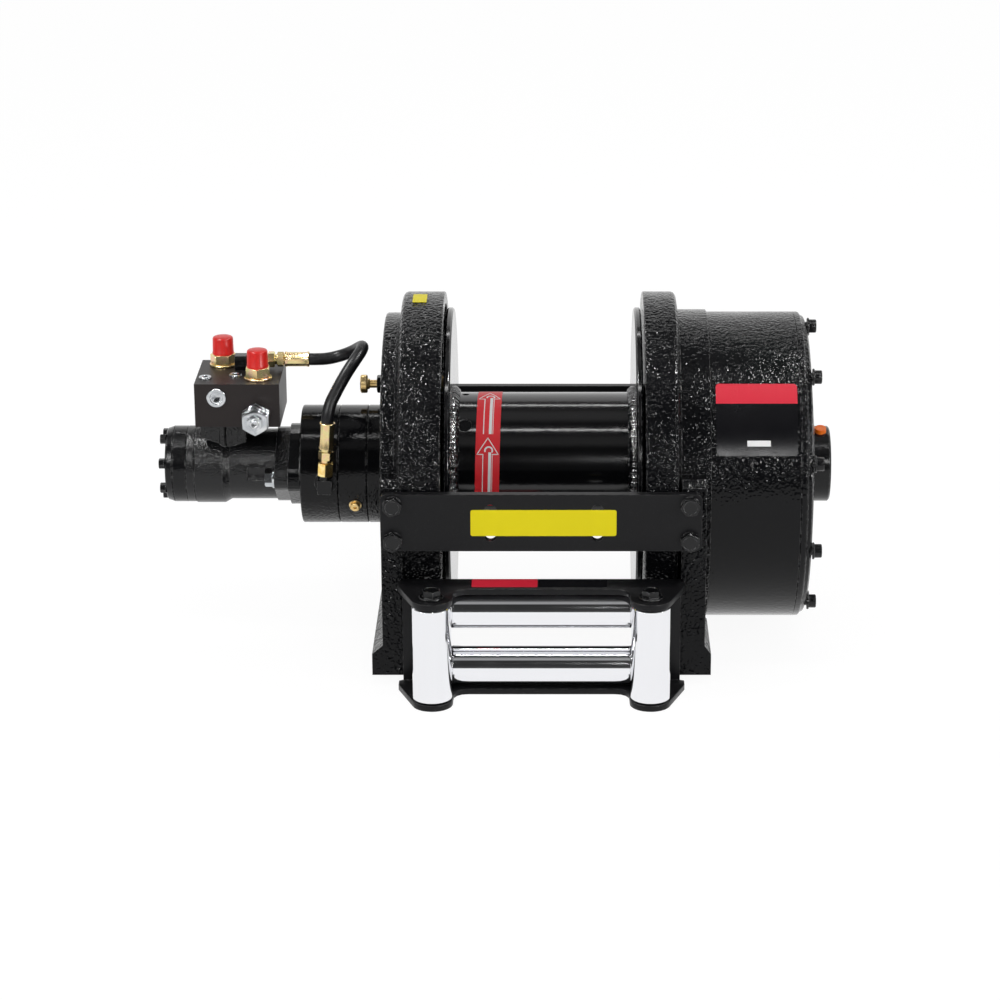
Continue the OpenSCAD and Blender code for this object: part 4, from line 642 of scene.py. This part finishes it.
def set_fasteners(name, rings, places, material, slot, nodes=(), sides=48, body="frame"):
    """Identical fasteners at places, each (point in mm, direction, turn)."""
    one_mesh = solids_mesh(name + "_one", [(*stack(rings, sides), (0, 0, 0), (0, 0, 1), 0.0)])
    one = bpy.data.objects.new(name + "_one", one_mesh)
    bpy.context.scene.collection.objects.link(one)
    spots = bpy.data.meshes.new(name + "_spots")
    spots.from_pydata([tuple(c * MM for c in place) for place, _, _ in places], [], [])
    angles = spots.attributes.new("angles", "FLOAT_VECTOR", "POINT")
    for i, (_, direction, turn) in enumerate(places):
        angles.data[i].vector = facing(direction, turn).to_euler()
    data = grow(name, FASTENER_TREE, spots, Fastener=one, Finish=material)
    bpy.data.objects.remove(one)
    finish_piece(name, data, material, slot, body, nodes)


def film(name, surface, rows, material, slot, body="frame"):
    """A thin closed sheet. Each row is (t, low s, high s); surface(s, t, lift) gives the place in mm."""
    across = 9
    points, faces = [], []
    for lift in (1.0, 0.0):
        for t, low, high in rows:
            points += [surface(low + (high - low) * j / (across - 1), t, lift) for j in range(across)]
    layer = len(rows) * across
    for base in (0, layer):
        for i in range(len(rows) - 1):
            for j in range(across - 1):
                a = base + i * across + j
                faces.append((a, a + across, a + across + 1, a + 1))
    edge = [(i * across, (i + 1) * across) for i in range(len(rows) - 1)]
    edge += [(i * across + across - 1, (i + 1) * across + across - 1) for i in range(len(rows) - 1)]
    edge += [(j, j + 1) for j in range(across - 1)]
    edge += [(layer - across + j, layer - across + j + 1) for j in range(across - 1)]
    faces += [(a, b, b + layer, a + layer) for a, b in edge]
    data = bpy.data.meshes.new(name)
    data.from_pydata([tuple(c * MM for c in p) for p in points], [], faces)
    finish_piece(name, data, material, slot, body)


def rounded_rows(half, start, end, corner_start, corner_end, step):
    """Rows of a strip with rounded corners, from t = start to t = end."""
    rows = []
    for corner, sign, edge in ((corner_start, 1, start), (corner_end, -1, end)):
        side = []
        for k in range(6 if corner else 1):
            bend = math.radians(90 * k / 5)
            side.append((edge + sign * corner * (1 - math.cos(bend)), half - corner * (1 - math.sin(bend))))
        if sign > 0:
            low = side[-1][0]
            rows += side
        else:
            count = max(1, math.ceil((side[-1][0] - low) / step))
            rows += [(low + (side[-1][0] - low) * i / count, half) for i in range(1, count)]
            rows += reversed(side)
    return [(t, -width, width) for t, width in rows]


def round_surface(x_mid, radius, lift):
    """A surface wrapped on a drum or housing, with t in mm of arc from the top towards the front."""
    def place(s, t, share):
        angle = t / radius
        reach = radius + lift * share
        return x_mid + s, -reach * math.sin(angle), AXIS_H + reach * math.cos(angle)
    return place


def stroke(surface, route, width):
    """Points and faces of a line of ink along points (s, t)."""
    rows = []
    dense = []
    for (s0, t0), (s1, t1) in zip(route, route[1:]):
        count = max(1, math.ceil(math.hypot(s1 - s0, t1 - t0) / 2.5))
        dense += [(s0 + (s1 - s0) * i / count, t0 + (t1 - t0) * i / count) for i in range(count)]
    dense.append(route[-1])
    for i, (s, t) in enumerate(dense):
        before, after = dense[max(0, i - 1)], dense[min(len(dense) - 1, i + 1)]
        along = Vector((after[0] - before[0], after[1] - before[1])).normalized()
        rows.append(((s, t), (-along.y * width / 2, along.x * width / 2)))
    points, faces = [], []
    for lift in (1.0, 0.0):
        for (s, t), (across_s, across_t) in rows:
            points.append(surface(s - across_s, t - across_t, lift))
            points.append(surface(s + across_s, t + across_t, lift))
    layer = 2 * len(rows)
    for i in range(len(rows) - 1):
        a = 2 * i
        faces += [(a, a + 2, a + 3, a + 1), (layer + a + 1, layer + a + 3, layer + a + 2, layer + a),
                  (a, a + layer, a + 2 + layer, a + 2), (a + 1, a + 3, a + 3 + layer, a + 1 + layer)]
    last = layer - 2
    faces += [(0, 1, 1 + layer, layer), (last, last + layer, last + 1 + layer, last + 1)]
    return [tuple(c * MM for c in p) for p in points], faces


def inked(name, surface, routes, material, slot, body):
    """Several lines of ink as one piece, each (points, width)."""
    points, faces = [], []
    for route, width in routes:
        own_points, own_faces = stroke(surface, route, width)
        faces += [tuple(len(points) + i for i in face) for face in own_faces]
        points += own_points
    data = bpy.data.meshes.new(name)
    data.from_pydata(points, [], faces)
    finish_piece(name, data, material, slot, body)


# The brake line
def add_hose():
    """The brake hose, end to end between its two crimped ferrules."""
    down = Vector((math.sin(LINE_LEAN), 0.0, math.cos(LINE_LEAN)))
    upper = Vector(LINE_TOP) + Vector((49, 0, 0))
    lower = Vector(LINE_FOOT) + 78.0 * down
    between = [(-256, 15, 316.5), (-244, 17, 318.5), (-232.5, 14, 323), (-222, 6, 330), (-215, -6, 337),
               (-211.5, -20, 341), (-212.5, -34, 340), (-218, -47, 334), (-226, -58, 324), (-234, -67, 312),
               (-241, -74, 300), (-246.5, -79.5, 289)]
    route = [upper, upper + Vector((7, 0, 0))] + [Vector(p) for p in between] + [lower + 7 * down, lower]
    curve = bpy.data.curves.new("brake_line", "CURVE")
    curve.dimensions = "3D"
    curve.bevel_depth = HOSE_D / 2 * MM
    curve.bevel_resolution = 6
    curve.resolution_u = 6
    curve.use_fill_caps = True
    line = curve.splines.new("BEZIER")
    line.bezier_points.add(len(route) - 1)
    for point, place in zip(line.bezier_points, route):
        point.co = place * MM
        point.handle_left_type = "AUTO"
        point.handle_right_type = "AUTO"
    curve.materials.append(HOSE_BLACK)
    hose = bpy.data.objects.new("brake_line", curve)
    bpy.context.scene.collection.objects.link(hose)
    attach(hose, "frame")
    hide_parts("brake_hose")


def ferrule_rings(low, high, radius=8.6):
    """A crimped sleeve: rolled collars and pressed flutes between them."""
    return (rounds((radius + 0.1, low), (radius + 0.6, low + 0.5), (radius + 0.6, low + 1.6))
            + [wavy_ring(radius, low + 3.4, 8, 0.5), wavy_ring(radius, high - 3.4, 8, 0.5)]
            + rounds((radius + 0.6, high - 1.6), (radius + 0.6, high - 0.4), (radius + 0.1, high),
                     (7.35, high), (7.3, high - 1.5)))


def add_hose_ends():
    """Swivel nuts, collars and ferrules at both ends of the brake line."""
    upper = (rounds((5, 0)) + hexagon(17, 0, 8) + rounds((6, 8.1), (6, 10.9)) + hexagon(16, 11, 19, TAU / 12)
             + rounds((6, 19.1), (6, 20)) + ferrule_rings(20.01, 49))
    lower = (rounds((6, 29), (6, 33)) + hexagon(16, 33.01, 43, TAU / 12) + rounds((6, 43), (7, 43.3), (7, 46))
             + ferrule_rings(46.01, 78))
    way = (math.sin(LINE_LEAN), 0.0, math.cos(LINE_LEAN))
    data = solids_mesh("line_ends", [(*stack(upper, 72), LINE_TOP, (1, 0, 0), 0.0),
                                     (*stack(lower, 72), LINE_FOOT, way, 0.0)])
    finish_piece("line_ends", data, *GILT, "frame", ["hose_ends"])
    nut = rounds((7, 13)) + hexagon(17, 13.01, 29)
    data = solids_mesh("lower_line_nut", [(*stack(nut, 72), LINE_FOOT, way, 0.0)])
    finish_piece("lower_line_nut", data, BRIGHT_BRASS, "brass", "frame")


# Valve block fittings
def add_block_fittings():
    up, forward = (0, 0, 1), (0, -1, 0)
    adapter = (rounds((10, -10), (10, 0)) + cylinder(16.5, 0.01, 3, 0.6) + rounds((13.2, 3.01))
               + hexagon(27, 3.02, 15) + rounds((11.4, 15.01), (11.4, 15.3), (10, 15.31), (10, 31), (6, 31), (6, -8)))
    seats = [((x, y, BLOCK_TOP), up, TAU / 12 * i) for i, (x, y) in enumerate(PORTS)]
    set_fasteners("pressure_adapters", adapter, seats, *GILT, ["port_adapters"])
    cap = rounds((10.05, 15.02), (12.6, 15), (12.9, 15.5), (12.9, 16.8), (12.55, 17.4), (12.2, 33.4),
                 (11.9, 34.4), (11.2, 35.2), (10.2, 35.6), (5, 36.2))
    set_fasteners("thread_caps", cap, [((x, y, BLOCK_TOP), up, 0.0) for x, y in PORTS], CAP_RED, "red_cap",
                  ["port_caps"])
    big = (rounds((9, -8), (9, 0), (11.5, 0.01), (11.5, 2.3), (10.8, 3), (7.6, 3), (7.0, 2.3), (5.4, 2.3))
           + socket(8, 2.0, 8.5, 5.2))
    set_fasteners("front_plug", big, [((-382.5, BLOCK_FRONT, 288.0), forward, 0.0)], *ZINC, ["block_plugs"])
    small = (rounds((5.5, -8), (5.5, 0), (7.5, 0.01), (7.5, 1.9), (6.9, 2.5), (4.4, 2.5))
             + socket(5.2, 2.2, 7.0, 3.6))
    seats = [((-397.5, -25.957, BLOCK_TOP), up, 0.3), ((-362.5, -15.958, BLOCK_TOP), up, 0.1)]
    set_fasteners("top_plugs", small, seats, *ZINC)
    relief = (rounds((11, -16), (11, 0)) + hexagon(31, 0.01, 8) + rounds((13.4, 8.01), (13.4, 9))
              + hexagon(31, 9.01, 17) + rounds((13, 17.01), (13, 18)) + hexagon(29, 18.01, 25)
              + rounds((8.2, 25.01), (8.2, 25.6)) + hexagon(17, 25.61, 30.4)
              + rounds((5.2, 30.41), (5.2, 33.4), (4.7, 34), (3.2, 34)) + socket(4.6, 33.6, 5.0, 3.0))
    set_fasteners("relief_valve", relief, [((-336.0, BLOCK_FRONT, 264.925), forward, TAU / 12)], *ZINC,
                  ["relief_cartridge"], 72)


# Fairlead
def cut_plate(loops, thickness, place):
    """A flat plate with its holes and slightly rounded edges, laid out by the matrix place."""
    edge = 0.6
    curve = bpy.data.curves.new("plate", "CURVE")
    curve.dimensions = "2D"
    curve.fill_mode = "BOTH"
    curve.bevel_depth = edge * MM
    curve.bevel_resolution = 1
    curve.extrude = (thickness / 2 - edge) * MM
    for loop in loops:
        spline = curve.splines.new("POLY")
        spline.points.add(len(loop) - 1)
        for point, (u, v) in zip(spline.points, loop):
            point.co = (u * MM, v * MM, 0.0, 1.0)
        spline.use_cyclic_u = True
    sheet = bpy.data.objects.new("plate", curve)
    bpy.context.scene.collection.objects.link(sheet)
    seen = sheet.evaluated_get(bpy.context.evaluated_depsgraph_get())
    data = bpy.data.meshes.new_from_object(seen)
    bpy.data.objects.remove(sheet)
    bpy.data.curves.remove(curve)
    data.transform(place)
    return data


def circle_loop(u, v, radius, start=0, end=345, step=15):
    angles = [math.radians(a) for a in range(start, end + 1, step)]
    return [(u + radius * math.cos(a), v + radius * math.sin(a)) for a in angles]


def add_fairlead_plates():
    """Two plates whose lobes carry the upright pins, the web, and the cheeks of the long pins with brackets."""
    lobe_r, bore = 22.9, 8.65
    floor, roof, thick = -5.0, 110.3, 7.0
    half = ([(84.0, -235.4), (91.6, -236.8), (97.4, -241.0), (100.7, -247.5), (POST_X - lobe_r, -256.0)]
            + circle_loop(POST_X, POST_Y, lobe_r, 180, 340, 10) + [(164.4, -222.6), (164.4, -210.6),
            (159.4, -208.0), (159.4, -202.6)])
    outline = half + [(-x, y) for x, y in reversed(half)]
    pin_holes = [circle_loop(s * POST_X, POST_Y, bore) for s in (-1, 1)]
    level = [Matrix.Translation((0, 0, z * MM)) for z in (roof + thick / 2, floor - thick / 2)]
    parts = [cut_plate([outline] + pin_holes, thick, place) for place in level]
    upright = Matrix(((1, 0, 0, 0), (0, 0, -1, -205.5 * MM), (0, 1, 0, 0), (0, 0, 0, 1)))
    for s in (-1, 1):
        web = [(s * 106.0, floor - 1), (s * 159.4, floor - 1), (s * 159.4, roof + 1), (s * 106.0, roof + 1)]
        parts.append(cut_plate([web], thick, upright))
        for x, width, loops in (
                (109.3, 8.0, [[(-237.9, floor - 1), (-213.6, floor - 1), (-213.6, roof + 1),
                               (-237.9, roof + 1)]]
                 + [circle_loop(LONG_PIN_Y, z, bore) for z in LONG_PIN_Z]),
                (155.0, 10.0, [[(-207.5, floor - 1), (-150.6, -1.0), (-150.6, 24.4), (-198.6, 74.4),
                                (-207.5, 74.4)]])):
            sideways = Matrix(((0, 0, 1, s * x * MM), (1, 0, 0, 0), (0, 1, 0, 0), (0, 0, 0, 1)))
            parts.append(cut_plate(loops, width, sideways))
    whole = bmesh.new()
    for part in parts:
        whole.from_mesh(part)
        bpy.data.meshes.remove(part)
    data = bpy.data.meshes.new("fairlead_plates")
    whole.to_mesh(data)
    whole.free()
    finish_piece("fairlead_plates", data, PLATE_BLACK, "satin_black", "frame", ["fairlead_frame"])


# Bolts, screws and nuts
def bolt_rings(flats, washer_r, washer_t, head_t, shank_r, shank_len):
    """A flange washer under a hexagon head on a plain shank."""
    top = washer_t + head_t
    return (rounds((shank_r, -shank_len), (shank_r, 0)) + cylinder(washer_r, 0.01, washer_t)
            + rounds((0.47 * flats, washer_t + 0.01)) + hexagon(flats, washer_t + 0.02, top, 0.0, False)
            + rounds((0.40 * flats, top), (0.38 * flats, top - 0.35)))


def bolt_circle(x, side, radius, count, start, turn_step):
    """Places evenly round the drum's axis, facing outwards along X."""
    angles = [math.radians(start + 360 * k / count) for k in range(count)]
    return [((x, -radius * math.cos(a), AXIS_H + radius * math.sin(a)), (side, 0, 0), turn_step * k)
            for k, a in enumerate(angles)]


def add_bolts():
    washer_r = 12.5
    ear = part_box("motor_mount_bolts")[1][1] / MM - washer_r
    mount = [((-316.0, sign * ear, AXIS_H), (-1, 0, 0), 0.3 * sign) for sign in (-1, 1)]
    set_fasteners("mount_bolts", bolt_rings(19.05, washer_r, 3, 9, 6.35, 34), mount, *ZINC,
                  ["motor_mount_bolts"])
    turns = (0.25, 0.5, 0.1, 0.62, 0.4, 0.0, 0.2, 0.55)
    corners = [(side, x, z) for side in (-1, 1) for x in (-TIE_BOLT_X, TIE_BOLT_X)
               for z in (TIE_BOLT_Z, -TIE_BOLT_Z)]
    tie = [((x, side * TIE_PLATE_Y, AXIS_H + z), (0, side, 0), turn)
           for (side, x, z), turn in zip(corners, turns)]
    set_fasteners("plate_bolts", bolt_rings(20, 11.2, 1.6, 8.4, 6, 38), tie, *BLACKED, ["tie_bolts"])
    upright = [((side * POST_X, POST_Y, FAIRLEAD_TOP), (0, 0, 1), 0.3 * side) for side in (-1, 1)]
    set_fasteners("upright_pins", bolt_rings(19, 14, 2.5, 8, 8, 129.3), upright, *BLACKED, ["roller_bolts"])
    pin = cylinder(9.5, -5, 0, 0.8) + rounds((8, 0.01), (8, 226.6)) + cylinder(9.5, 226.61, 231.6, 0.8)
    set_fasteners("long_pins", pin, [((-113.3, LONG_PIN_Y, z), (1, 0, 0), 0.0) for z in LONG_PIN_Z], *BLACKED)
    cap_screw = (rounds((5, -32), (5, 0)) + cylinder(9.8, 0.01, 2.2, 0.4) + rounds((7.6, 2.21))
                 + [wavy_ring(8, 2.8, 16, 0.35), wavy_ring(8, 10.0, 16, 0.35)]
                 + rounds((7.2, 10.8), (5.0, 10.8)) + socket(8, 10.5, 4.6, 4.8))
    set_fasteners("cover_screws", cap_screw, bolt_circle(313.3, 1, 171, 10, 90, 0.7), *BLACKED,
                  ["cover_bolts"])
    head = (rounds((4, -18), (4, 0), (6.2, 0.01), (6.2, 0.8)) + hexagon(10.7, 0.81, 7, 0.0, False)
            + rounds((4.2, 7), (4.0, 6.6)))
    set_fasteners("end_screws", head, bolt_circle(-448.2, -1, 37, 7, 18, 0.5), *BLACKED, ["motor_end_bolts"])


def add_small_screws():
    """The drag screw with its nut, and the bleed screw of the brake."""
    screw_angle = math.radians(100)
    y, z = -96 * math.cos(screw_angle), AXIS_H + 96 * math.sin(screw_angle)
    low, high = (c[0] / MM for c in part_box("drag_screw"))
    length = high - low
    screw = (rounds((9.4, 0)) + [wavy_ring(11, 1.2, 30, 0.3), wavy_ring(11, 7.3, 30, 0.3)]
             + rounds((9.8, 8.5), (6.6, 8.5), (6.2, 10.5), (4.8, 11.5), (4.8, length - 1), (3.9, length)))
    set_fasteners("drag_thumb_screw", screw, [((low, y, z), (1, 0, 0), 0.0)], *TURNED, ["drag_screw"], 90,
                  "thumb_screw")
    nut = rounds((5.3, 0.4), (6.2, 0)) + hexagon(19, 0.01, 11.6) + rounds((4.9, 11.6))
    set_fasteners("drag_lock_nut", nut, [((-197.2, y, z), (1, 0, 0), 0.0)], *BLACKED, ["drag_screw_nut"])
    out = math.radians(-26)
    way = (0.0, -math.cos(out), math.sin(out))
    seat = (-221.0, way[1] * BRAKE_R, AXIS_H + way[2] * BRAKE_R)
    bleed = (rounds((4.5, -7), (4.5, -1), (7.5, -0.99), (7.5, 0.6), (7.0, 1)) + hexagon(11, 1.01, 5, 0.2)
             + rounds((2.0, 5), (1.7, 3.0)))
    set_fasteners("bleed_valve", bleed, [(seat, way, 0.0)], *TURNED, ["bleed_screw"])


# Welds, tape and bare labels
def add_welds():
    for side, centre in (("left", -107.5), ("right", 111.5)):
        empty = bpy.data.meshes.new("weld_start")
        data = grow("%s_weld" % side, WELD_TREE, empty, Radius=(BARREL_R - 2.5) * MM, Place=centre * MM,
                    Bead=10.5 * MM, Ripple=0.07, Ripples=84.0, Finish=WELD_BLACK)
        finish_piece("%s_weld" % side, data, WELD_BLACK, "black_paint", "drum", (), 60.0)


def arrow_lines(start):
    """A plain arrow that points against t: its head, a thin line, a broad bar and a turned hook."""
    hook = [(1.2 + 4.4 * math.cos(a), start + 17 - 4.4 * math.sin(a)) for a in
            [math.radians(d) for d in range(200, -31, -23)]]
    base = start + 21.5
    head = [(-6.0, base), (-12.5, base), (0.0, start + 1.5), (12.5, base), (6.0, base)]
    bars = [([(s, start + low), (s, start + 80)], width) for s, low, width in
            ((-5.4, 21.0, 1.1), (2.6, 19, 3.4), (5.6, 21.0, 0.7))]
    return [(head, 1.1)] + bars + [(hook, 1.9)]


def housing_arc(degrees):
    return HOUSING_R * math.radians(degrees)


def add_tape_and_labels():
    arrow_start, arrow_step = -7.9, 83.4
    tape = round_surface(-61.8, BARREL_R + 0.12, 0.3)
    film("direction_tape", lambda s, t, lift: tape(s - 0.02 * t, t, lift),
         rounded_rows(14.3, -34.0, 160.0, 1.0, 1.0, 3.0), TAPE_RED, "red_cap", "drum")
    ink = round_surface(-61.8, BARREL_R + 0.38, 0.16)
    lines = arrow_lines(arrow_start) + arrow_lines(arrow_start + arrow_step)
    inked("tape_arrows", lambda s, t, lift: ink(s - 0.02 * t, t, lift), lines, INK_WHITE, "bright_zinc",
          "drum")
    housing = round_surface(247.0, HOUSING_R + 0.1, 0.35)
    top, split, end = housing_arc(41.6), housing_arc(49.65), housing_arc(69.1)
    film("housing_label_band", housing, rounded_rows(46.7, top, split, 4.0, 0.0, 3.0), LABEL_RED, "red_cap")
    film("housing_label", housing, rounded_rows(46.7, split, end, 0.0, 4.0, 3.0), LABEL_BLACK, "satin_black")
    blank = round_surface(249.0, HOUSING_R + 0.5, 0.12)
    film("housing_label_box", blank, rounded_rows(13.4, housing_arc(63.7), housing_arc(65.8), 0.0, 0.0, 3.0),
         INK_WHITE, "bright_zinc")
    film("tie_plate_label", lambda s, t, lift: (2.5 + s, -(TIE_PLATE_Y + 0.08) - 0.35 * lift, AXIS_H - t),
         rounded_rows(83.0, -15.8, 15.5, 2.4, 2.4, 4.0), LABEL_YELLOW, "orange_plug")
    film("fairlead_label_red", lambda s, t, lift: (-42.1 + s, t, FAIRLEAD_TOP + 0.08 + 0.35 * lift),
         rounded_rows(37.6, -229.5, -204.0, 2.0, 2.0, 4.0), LABEL_RED, "red_cap")
    film("fairlead_label_black", lambda s, t, lift: (35.7 + s, t, FAIRLEAD_TOP + 0.08 + 0.35 * lift),
         rounded_rows(39.2, -229.5, -204.0, 2.0, 2.0, 4.0), LABEL_BLACK, "satin_black")
    sticker = round_surface(-143.6, RING_R + 0.12, 0.3)
    film("ring_sticker", sticker, rounded_rows(8.3, -15.5, 19.0, 1.2, 1.2, 3.0), LABEL_YELLOW, "orange_plug")


# Finishes of the CAD nodes
def dress(material, *names):
    """Gives CAD nodes a finish."""
    for name in names:
        data = NODES[name].data
        data.materials.clear()
        data.materials.append(material)


def dress_nodes():
    """Finishes of the CAD nodes that no piece replaces."""
    dress(CAST_BLACK, "left_frame", "right_frame")
    dress(HOUSING_BLACK, "gear_housing", "end_cover")
    dress(BODY_BLACK, "motor_body")
    dress(MOTOR_BLACK, "motor_end_cover", "gerotor_ring", "clutch_cylinder", "brake_line_elbow",
          "brake_port_elbow")
    dress(BRAKE_BLACK, "brake_housing", "brake_ring", "brake_back_plate")
    dress(DRUM_BLACK, "drum_barrel", "left_drum_flange", "right_drum_flange")
    dress(PLATE_BLACK, "front_tie_plate", "rear_tie_plate")
    dress(BLOCK_BLACK, "valve_block")
    dress(CHROME, "left_roller", "right_roller")
    dress(CHROME_LONG, "upper_roller", "lower_roller")
    dress(PLUG_ORANGE, "air_port_plug")
    dress(BRONZE, "drum_bushes", "drag_shoe")
    dress(SPRING_STEEL, "brake_springs", "clutch_spring")
    dress(LINING, "brake_friction_discs")
    dress(STEEL, "brake_piston", "brake_steel_plates", "brake_hub", "motor_shaft", "input_shaft", "first_sun",
          "first_carrier", "second_carrier", "clutch_piston", "clutch_dog",
          *("%s_planet_%s" % (stage, planet) for stage in ("first", "second") for planet in "abc"))


LOW_MIDDLE = (0.0, 0.0, 0.2)
# Name, place, target, size, watts, and whether only the gloss shows it
LAMPS = (
    ("front_flash", (0.5, -3.4, 1.75), LOW_MIDDLE, (0.26, 0.16), 16.0, False),
    ("overhead_strip", (0.0, -0.75, 2.6), LOW_MIDDLE, (1.8, 0.07), 8.0, False),
    ("back_strip", (0.0, 1.75, 2.7), LOW_MIDDLE, (1.8, 0.08), 6.5, False),
    ("left_softbox", (-2.6, -1.6, 1.5), (-0.2, 0.0, 0.2), (0.3, 1.0), 20.0, False),
    ("left_card", (-1.7, -2.4, 1.7), LOW_MIDDLE, (0.24, 0.24), 42.0, True),
    ("right_card", (1.9, -2.3, 0.9), (0.2, 0.0, 0.2), (0.24, 0.24), 40.0, True),
    ("top_left_card", (-1.3, -0.1, 2.5), LOW_MIDDLE, (0.28, 0.28), 60.0, True),
    ("top_right_card", (1.4, -0.1, 2.5), LOW_MIDDLE, (0.28, 0.28), 60.0, True),
    ("right_softbox", (2.8, -1.2, 1.3), (0.2, 0.0, 0.2), (0.3, 1.0), 20.0, False),
)

add_camera()
add_hose()
add_world()
add_floor()
for lamp_values in LAMPS:
    add_lamp(*lamp_values)
dress_nodes()
add_hose_ends()
add_block_fittings()
add_fairlead_plates()
add_bolts()
add_small_screws()
add_welds()
add_tape_and_labels()
bpy.context.scene.view_settings.view_transform = "Standard"
